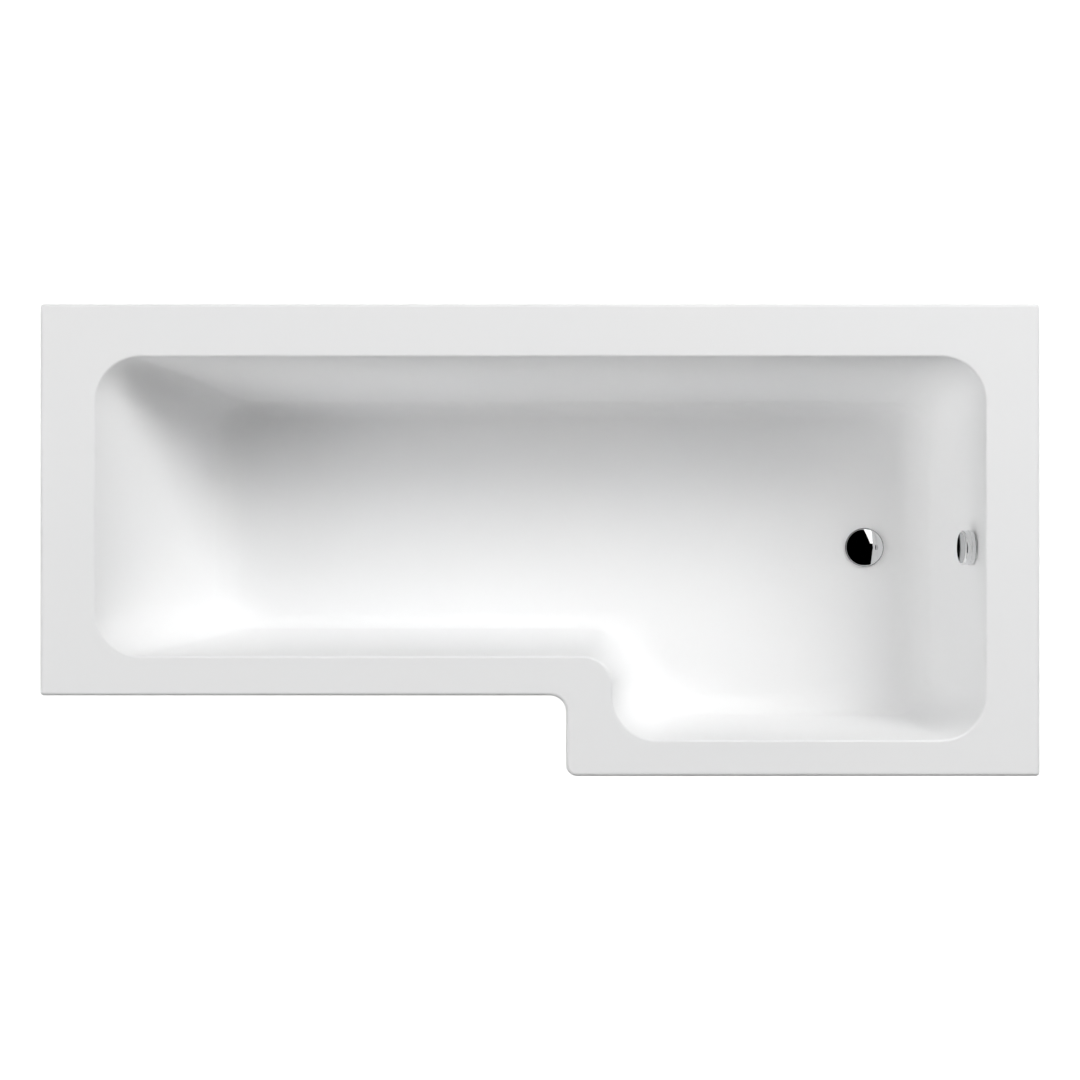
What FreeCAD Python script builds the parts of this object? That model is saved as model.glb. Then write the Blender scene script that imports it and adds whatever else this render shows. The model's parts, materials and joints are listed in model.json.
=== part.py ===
import FreeCAD, Part
import math
import os

import Sketcher

# An L-shaped shower bath: a moulded acrylic tub with its glass-fibre backing,
# board, rim battens, adjustable leg set, wall brackets and pop-up waste.
# Millimetres, +X along the bath to the waste end, +Y to the back wall, +Z up.
# The origin is on the floor, under the middle of the rim's box.

V = FreeCAD.Vector

SIZES = {
    # Rim, seen from above
    "bath_length": 1800, "bath_width": 850, "narrow_width": 705, "shower_length": 853,
    "rim_height": 550, "lip_depth": 40, "acrylic_wall": 5,
    "rim_corner_radius": 7, "step_outer_radius": 20, "step_inner_radius": 30,
    "rim_edge_radius": 6.5, "opening_edge_radius": 5,
    # Width of the flat rim on each side of the opening
    "head_rim": 99, "waste_rim": 98, "back_rim": 95,
    "front_rim": 71, "shower_rim": 65, "step_rim": 83,
    # Basin: how far each wall leans in over the depth, and its sweep into the floor
    "basin_depth": 390,
    "head_lean": 208, "waste_lean": 78, "back_lean": 74,
    "front_lean": 45, "shower_lean": 34, "step_lean": 62,
    "head_sweep": 68, "waste_sweep": 66, "back_sweep": 36,
    "front_sweep": 34, "shower_sweep": 44, "step_sweep": 55,
    "opening_corner": 81, "floor_corner": 60,
    "opening_step_corner": 55, "floor_step_corner": 110,
    # Backing, board and battens
    "bond_gap": 0.3, "glass_backing": 4,
    "board_thickness": 18, "board_inset": 25, "board_waste_clear": 95,
    "batten_width": 38, "batten_height": 40, "batten_lip_gap": 12, "batten_end_gap": 12,
    # Cross bars and feet
    "head_bar_from_end": 470, "middle_bar_from_end": 890, "waste_bar_from_end": 480,
    "bar_width": 30, "bar_height": 20, "bar_sheet": 2, "bar_overhang": 25,
    "sheet_bend": 1, "foot_outset": 70, "stud_radius": 6, "stud_spare": 32, "stud_clearance": 0.1,
    "pad_radius": 26, "pad_base": 6, "pad_hub_radius": 13, "pad_height": 22, "pad_floor": 7,
    "nut_radius": 10.5, "nut_height": 9, "washer_radius": 12, "washer_thick": 1.5,
    # Wood screws
    "screw_radius": 2.5, "screw_length": 15, "screw_head_radius": 4.8, "screw_head": 2.8,
    "screw_clearance": 0.05, "screw_from_middle": 70,
    # Wall brackets
    "bracket_width": 60, "bracket_drop": 50, "bracket_sheet": 3,
    "bracket_hole_radius": 3, "bracket_hole_pitch": 40, "bracket_hole_drop": 30,
    "bracket_head_x": 360, "bracket_waste_x": 480, "bracket_end_y": 250,
    # Waste
    "waste_from_end": 288, "waste_from_back": 439, "waste_hole_radius": 26,
    "flange_radius": 37, "flange_thick": 3.5, "flange_seat_radius": 29, "flange_seat_low": 0.5,
    "flange_edge": 1.2,
    "flange_seal_thick": 1.5, "flange_seal_radius": 34,
    "waste_tube_radius": 23.8, "waste_tube_bore": 20.5, "waste_tube_length": 34,
    "thread_clearance": 0.1, "spider_bar": 3, "spider_depth": 8, "spider_drop": 16,
    "spider_hub_radius": 8.5,
    "plug_radius": 35, "plug_edge": 2, "plug_dome": 5, "plug_gap": 0.4,
    "plug_seal_height": 2.4,
    "plug_lift": 10, "stem_radius": 5, "stem_drop": 45, "stem_clearance": 0.1,
    "stem_collar_radius": 12,
    "body_seal_thick": 4, "body_seal_radius": 40, "body_flange_radius": 42, "body_flange": 5,
    "chamber_radius": 27, "body_wall": 4, "chamber_top": 36, "chamber_floor": 64,
    "tail_radius": 23.9, "tail_bore": 20, "tail_end": 92, "tail_shoulder": 68,
    # Lift lever in the waste chamber
    "lever_arm": 20, "lever_nose": 3, "lever_width": 6, "lever_drop_arm": 12,
    "lever_pin_radius": 2, "lever_pin_half": 22.5, "lever_clearance": 0.06, "lever_gap": 0.3,
    # Overflow
    "overflow_drop": 75, "overflow_hole_radius": 26,
    "bezel_radius": 28, "bezel_thick": 2.5, "bezel_tube_radius": 23.8, "bezel_bore": 20.5,
    "bezel_length": 24, "bezel_hub_radius": 8, "bezel_hub_depth": 8, "bezel_gap": 0.05,
    "gasket_radius": 36, "gasket_thick": 4, "gasket_gap": 0.3, "overflow_flange": 5,
    "cup_radius": 32, "cup_bore": 28, "cup_depth": 56, "cup_back": 4, "neck_end": 26,
    "knob_radius": 31.5, "knob_thick": 18.5, "knob_standoff": 4, "knob_wall": 2.5,
    "knob_face": 4, "knob_edge_radius": 3.5, "knob_boss_radius": 7,
    "spindle_radius": 4, "spindle_clearance": 0.06,
    "crank_radius": 9, "crank_thick": 4, "crank_depth": 42, "crank_pin_radius": 1.8,
    "crank_throw": 4.2, "crank_pin_length": 6,
    # Overflow hose and its nuts
    "spigot_radius": 17, "spigot_depth": 36, "spigot_reach": 62, "hose_bore": 12.5,
    "branch_drop": 56, "branch_reach": 62, "branch_rise": 15,
    "hose_radius": 16, "hose_root": 14, "hose_pitch": 5, "hose_cuff": 32,
    "nut_ring_radius": 22, "nut_over_spigot": 12, "nut_over_hose": 10, "nut_clearance": 0.1,
    # Push-pull cable from the overflow to the waste
    "cable_radius": 3, "gland_radius": 6, "gland_bore": 3.2, "gland_seat": 4,
    "upper_gland_side": 25, "upper_gland_depth": 46, "upper_gland_reach": 48,
    "lower_gland_drop": 55, "lower_gland_reach": 46,
}

# The sections of the basin: shares of the height of the sweeps, then of the wall above
SWEEP_SHARES = (0, 0.012, 0.045, 0.1, 0.17, 0.26, 0.38, 0.53, 0.7)
WALL_SHARES = (0.08, 0.18, 0.32, 0.5, 0.7, 0.86, 1)
CUT_THROUGH = 10

# Route of the cable from a straight lead below its upper gland, in the waste's frame:
# it comes down behind the end wall, swings under the sweep and round to the waste's back side
CABLE_LEAD = 150
CABLE_ROUTE = ((170, 26, 10), (130, 45, -48), (55.6, 119.5, -55), (0, 96.5, -55))

doc = FreeCAD.newDocument("shower_bath")
sheet = doc.addObject("Spreadsheet::Sheet", "sizes")
for row, (alias, size) in enumerate(SIZES.items(), 1):
    sheet.set(f"A{row}", alias)
    sheet.set(f"B{row}", str(size))
    sheet.setAlias(f"B{row}", alias)
doc.recompute()

pieces = []


# Sizes as expressions

def num(expression):
    """The value of an expression on the sheet, in millimetres or degrees."""
    value = sheet.evalExpression(str(expression))
    return float(getattr(value, "Value", value))


def size(alias):
    """The value of one cell of the sheet."""
    return num(f"sizes.{alias}")


HALF_LENGTH = "sizes.bath_length / 2"
HALF_WIDTH = "sizes.bath_width / 2"
FLOOR = "(sizes.rim_height - sizes.basin_depth)"
SKIN = "(sizes.acrylic_wall + sizes.bond_gap + sizes.glass_backing)"
BOARD_TOP = f"({FLOOR} - {SKIN})"
BOARD_BOTTOM = f"({BOARD_TOP} - sizes.board_thickness)"
RIM_UNDERSIDE = "(sizes.rim_height - sizes.acrylic_wall)"
BATTEN_BOTTOM = f"({RIM_UNDERSIDE} - sizes.batten_height)"
STEP_X = f"({HALF_LENGTH} - sizes.shower_length)"
NARROW_Y = f"({HALF_WIDTH} - sizes.narrow_width)"
WASTE_X = f"({HALF_LENGTH} - sizes.waste_from_end)"
WASTE_Y = f"({HALF_WIDTH} - sizes.waste_from_back)"

# Edge of the opening on each side, and the way in to the basin from it
OPENING = {
    "head": (f"(-{HALF_LENGTH} + sizes.head_rim)", 1),
    "waste": (f"({HALF_LENGTH} - sizes.waste_rim)", -1),
    "back": (f"({HALF_WIDTH} - sizes.back_rim)", -1),
    "front": (f"({NARROW_Y} + sizes.front_rim)", 1),
    "shower": (f"(-{HALF_WIDTH} + sizes.shower_rim)", 1),
    "step": (f"({STEP_X} + sizes.step_rim)", 1),
}


def flat_edge(side):
    """Where the flat floor ends on a side: past the lean of its wall and its sweep."""
    edge, inward = OPENING[side]
    tangent = f"(sizes.{side}_lean / sizes.basin_depth)"
    sweep = f"sizes.{side}_sweep * (sqrt(1 + {tangent} * {tangent}) - {tangent})"
    return f"({edge} + {inward} * (sizes.{side}_lean + {sweep}))"


WALL_ANGLE = "atan(sizes.waste_lean / sizes.basin_depth)"
OVERFLOW_X = (
    f"({OPENING['waste'][0]} - sizes.overflow_drop * sizes.waste_lean / sizes.basin_depth)"
)
OVERFLOW_Z = "(sizes.rim_height - sizes.overflow_drop)"


# Making and placing features

def bind(feature, **expressions):
    """Binds properties of a feature to expressions on the sheet."""
    for name, expression in expressions.items():
        feature.setExpression(name, str(expression))
    return feature


def place(feature, x="0", y="0", z="0", axis=None, angle=None):
    """Binds a feature's place, and its turn about an axis, to the sheet."""
    if axis is not None:
        feature.Placement = FreeCAD.Placement(V(), FreeCAD.Rotation(axis, 30))
        feature.setExpression("Placement.Rotation.Angle", angle)
    for name, expression in zip("xyz", (x, y, z)):
        feature.setExpression(f"Placement.Base.{name}", str(expression))
    return feature


def sub_part(feature, label):
    """Labels a finished piece, which names its file."""
    feature.Label = label
    pieces.append(feature)
    return feature


def cylinder(name, radius, height, x="0", y="0", z="0", axis=None, angle=None):
    """A cylinder standing on its place, along local +Z."""
    feature = doc.addObject("Part::Cylinder", name)
    bind(feature, Radius=radius, Height=height)
    return place(feature, x, y, z, axis, angle)


def ring(name, outer, inner, height, z="0", x="0", y="0"):
    """A flat ring whose lower face is at z."""
    blank = cylinder(f"{name}_blank", outer, height, x, y, z)
    hole = cylinder(f"{name}_hole", inner, f"{height} + 2", x, y, f"{z} - 1")
    return cut(name, blank, [hole])


def box(name, x_range, y_range, z_range):
    """A box between two expressions on each axis."""
    feature = doc.addObject("Part::Box", name)
    spans = [f"({high}) - ({low})" for low, high in (x_range, y_range, z_range)]
    bind(feature, Length=spans[0], Width=spans[1], Height=spans[2])
    return place(feature, x_range[0], y_range[0], z_range[0])


def group(name, features):
    """Separate solids kept together as one feature."""
    feature = doc.addObject("Part::Compound", name)
    feature.Links = features
    return feature


def fuse(name, features):
    """One solid from several that overlap."""
    feature = doc.addObject("Part::MultiFuse", name)
    feature.Shapes = features
    feature.Refine = True
    return feature


def cut(name, base, tools):
    """A base with one or more tools taken out of it."""
    feature = doc.addObject("Part::Cut", name)
    feature.Base = base
    feature.Tool = tools[0] if len(tools) == 1 else group(f"{name}_tools", tools)
    return feature


def origin_plane(body, role):
    """One of a body's own origin planes."""
    return next(o for o in body.Origin.OriginFeatures if o.Role == role)


def outline_sketch(body, name, role, corners):
    """A closed outline of straight lines, each corner held by two expressions."""
    sketch = body.newObject("Sketcher::SketchObject", name)
    sketch.AttachmentSupport = [(origin_plane(body, role), "")]
    sketch.MapMode = "FlatFace"
    points = [V(num(x), num(y), 0) for x, y in corners]
    count = len(points)
    for i in range(count):
        sketch.addGeometry(Part.LineSegment(points[i], points[(i + 1) % count]))
    for i in range(count):
        sketch.addConstraint(Sketcher.Constraint("Coincident", i, 2, (i + 1) % count, 1))
    for i, corner in enumerate(corners):
        for kind, expression in zip(("DistanceX", "DistanceY"), corner):
            held = Sketcher.Constraint(kind, -1, 1, i, 1, num(expression))
            sketch.setExpression(f"Constraints[{sketch.addConstraint(held)}]", str(expression))
    return sketch


def turned(label, profile):
    """A body turned about local Z from a profile of (radius, height) corners."""
    body = doc.addObject("PartDesign::Body", f"{label}_body")
    sketch = outline_sketch(body, f"{label}_profile", "XZ_Plane", profile)
    turn = body.newObject("PartDesign::Revolution", f"{label}_turn")
    turn.Profile = sketch
    turn.ReferenceAxis = (sketch, ["V_Axis"])
    turn.Angle = 360
    doc.recompute()
    return body


def padded(label, role, corners, length, both_ways=False):
    """A body padded from an outline on one of its origin planes."""
    body = doc.addObject("PartDesign::Body", f"{label}_body")
    pad = body.newObject("PartDesign::Pad", f"{label}_pad")
    pad.Profile = outline_sketch(body, f"{label}_outline", role, corners)
    pad.Midplane = both_ways
    bind(pad, Length=length)
    doc.recompute()
    return body


def edges_where(shape, test):
    """Names of the edges of a shape that pass a test."""
    return [f"Edge{i}" for i, edge in enumerate(shape.Edges, 1) if test(edge)]


def rounded(body, name, radius, test):
    """Adds a fillet to the edges of a body's tip that pass a test."""
    tip = body.Tip
    fillet = body.newObject("PartDesign::Fillet", name)
    fillet.Base = (tip, edges_where(tip.Shape, test))
    bind(fillet, Radius=radius)
    doc.recompute()


def edges_at(corners, across="xy"):
    """A test for the edges that run square to two axes, through the given corners."""
    spots = [(num(a), num(b)) for a, b in corners]

    def test(edge):
        ends = [[getattr(vertex.Point, axis) for axis in across] for vertex in edge.Vertexes]
        return any(all(math.dist(end, spot) < 1e-3 for end in ends) for spot in spots)

    return test


# Tub

def wall_inset(side, offset, height):
    """How far in from the opening's edge a wall stands, at a height above its floor.

    The wall is a straight lean above a round sweep that is level where it meets the
    floor. An offset gives the surface that lies that far outside it."""
    depth, lean = size("basin_depth"), size(f"{side}_lean")
    tangent = lean / depth
    secant = math.hypot(1, tangent)
    sweep = size(f"{side}_sweep")
    outer = sweep + offset
    if height < outer * (1 - tangent / secant):
        foot = lean + sweep * (secant - tangent)
        return foot - math.sqrt(max(0, 2 * outer * height - height * height))
    return (depth + offset - height) * tangent - offset * secant


def rounded_wire(corners, radii, z):
    """A closed level wire of straight runs with round corners."""
    points = [V(x, y, z) for x, y in corners]
    arcs = []
    for i, (point, radius) in enumerate(zip(points, radii)):
        back = (points[i - 1] - point).normalize() * radius
        ahead = (points[(i + 1) % len(points)] - point).normalize() * radius
        centre = point + back + ahead
        middle = centre + (point - centre).normalize() * radius
        arcs.append((point + back, middle, point + ahead))
    edges = []
    for i, (start, middle, end) in enumerate(arcs):
        edges.append(Part.Arc(start, middle, end).toShape())
        edges.append(Part.LineSegment(end, arcs[(i + 1) % len(arcs)][0]).toShape())
    return Part.Wire(edges)


def basin_form(name, offset, top):
    """The solid inside the basin, or inside the surface that lies an offset outside it.

    It is lofted through level sections, because every wall has its own lean and sweep.
    Its top is at a height given above the floor of the basin."""
    sides = {side: num(edge) for side, (edge, _) in OPENING.items()}
    inward = {side: way for side, (_, way) in OPENING.items()}
    depth = size("basin_depth")
    full = depth + offset
    sweep_height = max(size(f"{side}_sweep") for side in sides) + offset
    heights = [share * sweep_height for share in SWEEP_SHARES]
    heights += [sweep_height * SWEEP_SHARES[-1] * (1 - share) + (top + offset) * share
                for share in WALL_SHARES]
    wires = []
    for height in heights:
        at = {s: sides[s] + inward[s] * wall_inset(s, offset, height) for s in sides}
        rise = math.sqrt(min(1, height / full))
        corner = size("floor_corner") * (1 - rise) + size("opening_corner") * rise + offset
        step = size("floor_step_corner") * (1 - rise) + size("opening_step_corner") * rise - offset
        corners = [
            (at["head"], at["front"]), (at["step"], at["front"]), (at["step"], at["shower"]),
            (at["waste"], at["shower"]), (at["waste"], at["back"]), (at["head"], at["back"]),
        ]
        radii = [corner, step, corner, corner, corner, corner]
        wires.append(rounded_wire(corners, radii, num(FLOOR) - offset + height))
    feature = doc.addObject("Part::Feature", name)
    feature.Shape = Part.makeLoft(wires, True, False)
    return feature


def rim_corners(inset="0"):
    """Corners of the rim, seen from above, from the head end's front corner round."""
    head, waste = f"(-{HALF_LENGTH} + {inset})", f"({HALF_LENGTH} - {inset})"
    front, back = f"(-{HALF_WIDTH} + {inset})", f"({HALF_WIDTH} - {inset})"
    step, narrow = f"({STEP_X} + {inset})", f"({NARROW_Y} + {inset})"
    return [(head, narrow), (step, narrow), (step, front), (waste, front), (waste, back), (head, back)]


def rim_tray():
    """The flat rim with its downturned lip, as a tray that is open below."""
    corners = rim_corners()
    body = padded("rim", "XY_Plane", corners, "sizes.lip_depth")
    square = [corners[i] for i in (0, 3, 4, 5)]
    rounded(body, "rim_corners", "sizes.rim_corner_radius", edges_at(square))
    rounded(body, "rim_step_inner", "sizes.step_inner_radius", edges_at([corners[1]]))
    rounded(body, "rim_step_outer", "sizes.step_outer_radius", edges_at([corners[2]]))
    top = size("lip_depth")
    rounded(body, "rim_edge", "sizes.rim_edge_radius",
            lambda edge: all(abs(v.Z - top) < 1e-6 for v in edge.Vertexes))
    place(body, z="sizes.rim_height - sizes.lip_depth")
    within = rim_corners("sizes.acrylic_wall")
    hollow = padded("rim_hollow", "XY_Plane", within, "sizes.lip_depth")
    rounded(hollow, "rim_hollow_step_inner", "sizes.step_inner_radius + sizes.acrylic_wall",
            edges_at([within[1]]))
    rounded(hollow, "rim_hollow_step_outer", "sizes.step_outer_radius - sizes.acrylic_wall",
            edges_at([within[2]]))
    place(hollow, z="sizes.rim_height - sizes.lip_depth - sizes.acrylic_wall")
    return cut("rim_tray", body, [hollow])


def in_overflow_frame(feature):
    """Places a feature made about the overflow's axis: local Z points into the basin."""
    return place(feature, OVERFLOW_X, WASTE_Y, OVERFLOW_Z, V(0, 1, 0), f"{WALL_ANGLE} - 90 deg")


def in_waste_frame(feature, z="0"):
    """Places a feature made about the waste's axis, from the floor's upper face."""
    return place(feature, WASTE_X, WASTE_Y, f"{FLOOR} + {z}")


def tub_holes(name):
    """The cutters for the waste and overflow holes."""
    reach = "sizes.waste_hole_radius + sizes.overflow_hole_radius"
    waste = cylinder(f"{name}_waste_hole", "sizes.waste_hole_radius", f"2 * ({reach})",
                     WASTE_X, WASTE_Y, f"{FLOOR} - ({reach})")
    bore = cylinder(f"{name}_overflow_bore", "sizes.overflow_hole_radius", f"2 * ({reach})",
                    z=f"-({reach})")
    return [waste, in_overflow_frame(group(f"{name}_overflow_hole", [bore]))]


def acrylic_shell():
    """The tub itself: rim, lip and basin in one moulded sheet."""
    wall, depth = size("acrylic_wall"), size("basin_depth")
    outside = basin_form("basin_outside", wall, depth - wall / 2)
    inside = basin_form("basin_inside", 0, depth + CUT_THROUGH)
    blank = fuse("shell_blank", [rim_tray(), outside])
    shell = cut("shell_open", blank, [inside, *tub_holes("shell")])
    doc.recompute()
    top = max((f for f in shell.Shape.Faces if abs(f.CenterOfMass.z - size("rim_height")) < 1e-3),
              key=lambda f: f.Area)
    opening = [e for w in top.Wires if not w.isSame(top.OuterWire) for e in w.Edges]
    radius = size("opening_edge_radius")
    lip = doc.addObject("Part::Fillet", "shell_lip")
    lip.Base = shell
    lip.Edges = [(i, radius, radius) for i, edge in enumerate(shell.Shape.Edges, 1)
                 if any(edge.isSame(o) for o in opening)]
    sub_part(lip, "acrylic_shell")


def fibreglass_backing():
    """The sprayed glass-fibre layer over the outside of the basin."""
    inner = size("acrylic_wall") + size("bond_gap")
    outer = inner + size("glass_backing")
    top = size("basin_depth") - inner
    blank = basin_form("backing_outside", outer, top)
    core = basin_form("backing_inside", inner, size("basin_depth") - size("acrylic_wall") / 2)
    sub_part(cut("backing", blank, [core, *tub_holes("backing")]), "fibreglass_backing")


# Board, battens and brackets

def screw_at(name, x, y, z):
    """A pan-head wood screw driven up into wood, its head's upper face at z."""
    shank = cylinder(f"{name}_shank", "sizes.screw_radius", "sizes.screw_length + sizes.screw_head")
    head = cylinder(f"{name}_head", "sizes.screw_head_radius", "sizes.screw_head")
    return place(fuse(name, [shank, head]), x, y, f"{z} - sizes.screw_head")


def screw_hole(name, x, y, z):
    """The pilot hole of a screw, through the sheet below z and into the wood above it."""
    return cylinder(name, "sizes.screw_radius + sizes.screw_clearance",
                    "sizes.screw_length + 2 * sizes.bar_sheet", x, y, f"{z} - 2 * sizes.bar_sheet")


BAR_X = {
    "head": f"(-{HALF_LENGTH} + sizes.head_bar_from_end)",
    "middle": f"(-{HALF_LENGTH} + sizes.middle_bar_from_end)",
    "waste": f"({HALF_LENGTH} - sizes.waste_bar_from_end)",
}
BACK_FOOT_Y = f"({flat_edge('back')} + sizes.foot_outset)"
FRONT_FOOT_Y = {
    "head": f"({flat_edge('front')} - sizes.foot_outset)",
    "middle": f"({flat_edge('front')} - sizes.foot_outset)",
    "waste": f"({flat_edge('shower')} - sizes.foot_outset)",
}
BOARD_MIDDLE_Y = f"(({flat_edge('back')} + {flat_edge('front')}) / 2)"
WEB_BOTTOM = f"({BOARD_BOTTOM} - sizes.bar_sheet)"
STUD_TOP = f"({BOARD_BOTTOM} + sizes.washer_thick + sizes.nut_height + sizes.stud_spare)"


def bar_screw_places():
    """Where the bars' screws stand: a pair in each bar, either side of its board's middle."""
    return [(bar, BAR_X[bar], f"{BOARD_MIDDLE_Y} + {way} * sizes.screw_from_middle")
            for bar in BAR_X for way in (-1, 1)]


def baseboard():
    """The chipboard under the floor, cut back from the waste."""
    left = f"{flat_edge('head')} + sizes.board_inset"
    right = f"{WASTE_X} - sizes.board_waste_clear"
    back = f"{flat_edge('back')} - sizes.board_inset"
    front = f"{flat_edge('front')} + sizes.board_inset"
    shower = f"{flat_edge('shower')} + sizes.board_inset"
    step = f"{flat_edge('step')} + sizes.board_inset"
    corners = [(left, front), (step, front), (step, shower), (right, shower), (right, back), (left, back)]
    blank = place(padded("board", "XY_Plane", corners, "sizes.board_thickness"), z=BOARD_BOTTOM)
    holes = [screw_hole(f"board_hole_{i}", x, y, BOARD_BOTTOM)
             for i, (_, x, y) in enumerate(bar_screw_places())]
    sub_part(cut("board", blank, holes), "baseboard")


def rim_battens():
    """Timber strips under the rim, with the pilot holes of the brackets' screws."""
    inside_lip = "sizes.acrylic_wall + sizes.batten_lip_gap"
    far = f"{inside_lip} + sizes.batten_width"
    clear = f"({far} + sizes.batten_end_gap)"
    head_x = (f"-{HALF_LENGTH} + {inside_lip}", f"-{HALF_LENGTH} + {far}")
    waste_x = (f"{HALF_LENGTH} - ({far})", f"{HALF_LENGTH} - ({inside_lip})")
    back_y = (f"{HALF_WIDTH} - ({far})", f"{HALF_WIDTH} - ({inside_lip})")
    front_y = (f"{NARROW_Y} + {inside_lip}", f"{NARROW_Y} + {far}")
    shower_y = (f"-{HALF_WIDTH} + {inside_lip}", f"-{HALF_WIDTH} + {far}")
    step_x = (f"{STEP_X} + {inside_lip}", f"{STEP_X} + {far}")
    between_ends = (f"-{HALF_LENGTH} + {clear}", f"{HALF_LENGTH} - {clear}")
    strips = {
        "back": (between_ends, back_y),
        "head_end": (head_x, (f"{NARROW_Y} + {inside_lip}", f"{HALF_WIDTH} - {clear}")),
        "waste_end": (waste_x, (f"-{HALF_WIDTH} + {inside_lip}", f"{HALF_WIDTH} - {clear}")),
        "front": ((f"-{HALF_LENGTH} + {clear}", f"{STEP_X} - sizes.batten_end_gap"), front_y),
        "step": (step_x, (f"-{HALF_WIDTH} + {clear}", f"{NARROW_Y} - sizes.batten_end_gap")),
        "shower_front": ((f"{STEP_X} + {inside_lip}", f"{HALF_LENGTH} - {clear}"), shower_y),
    }
    for name, (along_x, along_y) in strips.items():
        strip = box(f"batten_{name}", along_x, along_y, (BATTEN_BOTTOM, RIM_UNDERSIDE))
        spots = [spot for spot in bracket_screw_places() if spot[0] == name]
        if spots:
            holes = [screw_hole(f"batten_{name}_hole_{i}", x, y, BATTEN_BOTTOM)
                     for i, (_, x, y) in enumerate(spots)]
            strip = cut(f"batten_{name}_drilled", strip, holes)
        sub_part(strip, f"rim_batten_{name}")


# Each bracket: its batten, its place on the wall face of the rim and its turn about Z
BRACKETS = {
    "wall_bracket_back_head": ("back", "-sizes.bracket_head_x", HALF_WIDTH, "0 deg"),
    "wall_bracket_back_waste": ("back", "sizes.bracket_waste_x", HALF_WIDTH, "0 deg"),
    "wall_bracket_waste_end": ("waste_end", HALF_LENGTH, "-sizes.bracket_end_y", "-90 deg"),
}
BRACKET_SCREW_IN = "(sizes.acrylic_wall + sizes.batten_lip_gap + sizes.batten_width / 2)"


def bracket_screw_places():
    """Where each bracket's two screws stand under its batten."""
    places = []
    for batten, x, y, turn in BRACKETS.values():
        for way in (-1, 1):
            along = f"{way} * sizes.bracket_hole_pitch / 2"
            if turn == "0 deg":
                places.append((batten, f"{x} + {along}", f"{y} - {BRACKET_SCREW_IN}"))
            else:
                places.append((batten, f"{x} - {BRACKET_SCREW_IN}", f"{y} + {along}"))
    return places


def wall_brackets():
    """Steel angles under the battens, whose upright leaves meet the walls."""
    deep = "sizes.acrylic_wall + sizes.batten_lip_gap + sizes.batten_width"
    profile = [
        ("0", "0"), (f"-({deep})", "0"), (f"-({deep})", "-sizes.bracket_sheet"),
        ("-sizes.bracket_sheet", "-sizes.bracket_sheet"), ("-sizes.bracket_sheet", "-sizes.bracket_drop"),
        ("0", "-sizes.bracket_drop"),
    ]
    for label, (_, x, y, turn) in BRACKETS.items():
        angle = padded(label, "YZ_Plane", profile, "sizes.bracket_width", both_ways=True)
        rounded(angle, f"{label}_bend_inside", "sizes.sheet_bend", edges_at(profile[3:4], "yz"))
        rounded(angle, f"{label}_bend_outside", "sizes.sheet_bend + sizes.bracket_sheet",
                edges_at(profile[:1], "yz"))
        tools = []
        for way in (-1, 1):
            along = f"{way} * sizes.bracket_hole_pitch / 2"
            side = "right" if way > 0 else "left"
            tools.append(cylinder(f"{label}_wall_hole_{side}", "sizes.bracket_hole_radius",
                                  "4 * sizes.bracket_sheet", along, "2 * sizes.bracket_sheet",
                                  "-sizes.bracket_hole_drop", V(1, 0, 0), "90 deg"))
            tools.append(cylinder(f"{label}_batten_hole_{side}",
                                  "sizes.screw_radius + sizes.screw_clearance",
                                  "4 * sizes.bracket_sheet", along, f"-{BRACKET_SCREW_IN}",
                                  "-2 * sizes.bracket_sheet"))
        bracket = cut(f"{label}_drilled", angle, tools)
        sub_part(place(bracket, x, y, BATTEN_BOTTOM, V(0, 0, 1), turn), label)
    screws = [screw_at(f"bracket_screw_{i}", x, y, f"{BATTEN_BOTTOM} - sizes.bracket_sheet")
              for i, (_, x, y) in enumerate(bracket_screw_places())]
    sub_part(group("bracket_screw_group", screws), "bracket_screws")


# Leg set

def cross_bars():
    """Steel channels, open below, screwed up into the board."""
    half = "sizes.bar_width / 2"
    inner = f"{half} - sizes.bar_sheet"
    profile = [
        (f"-{half}", "-sizes.bar_height"), (f"-({inner})", "-sizes.bar_height"),
        (f"-({inner})", "-sizes.bar_sheet"), (inner, "-sizes.bar_sheet"),
        (inner, "-sizes.bar_height"), (half, "-sizes.bar_height"), (half, "0"), (f"-{half}", "0"),
    ]
    for bar, x in BAR_X.items():
        front, back = FRONT_FOOT_Y[bar], BACK_FOOT_Y
        length = f"{back} - {front} + 2 * sizes.bar_overhang"
        channel = padded(f"bar_{bar}", "XZ_Plane", profile, length, both_ways=True)
        rounded(channel, f"bar_{bar}_bends_inside", "sizes.sheet_bend", edges_at(profile[2:4], "xz"))
        rounded(channel, f"bar_{bar}_bends_outside", "sizes.sheet_bend + sizes.bar_sheet",
                edges_at(profile[6:], "xz"))
        place(channel, x, f"({back} + {front}) / 2", BOARD_BOTTOM)
        tools = [cylinder(f"bar_{bar}_stud_hole_{i}", "sizes.stud_radius + 2 * sizes.stud_clearance",
                          "4 * sizes.bar_sheet", x, y, f"{BOARD_BOTTOM} - 3 * sizes.bar_sheet")
                 for i, y in enumerate((front, back))]
        tools += [screw_hole(f"bar_{bar}_screw_hole_{i}", sx, sy, BOARD_BOTTOM)
                  for i, (owner, sx, sy) in enumerate(bar_screw_places()) if owner == bar]
        sub_part(cut(f"bar_{bar}_drilled", channel, tools), f"cross_bar_{bar}")
    screws = [screw_at(f"bar_screw_{i}", x, y, WEB_BOTTOM)
              for i, (_, x, y) in enumerate(bar_screw_places())]
    sub_part(group("bar_screw_group", screws), "bar_screws")


def foot_places():
    """The six feet: name, x and y."""
    return [(f"{bar}_{end}", BAR_X[bar], y)
            for bar in BAR_X for end, y in (("front", FRONT_FOOT_Y[bar]), ("back", BACK_FOOT_Y))]


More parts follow.
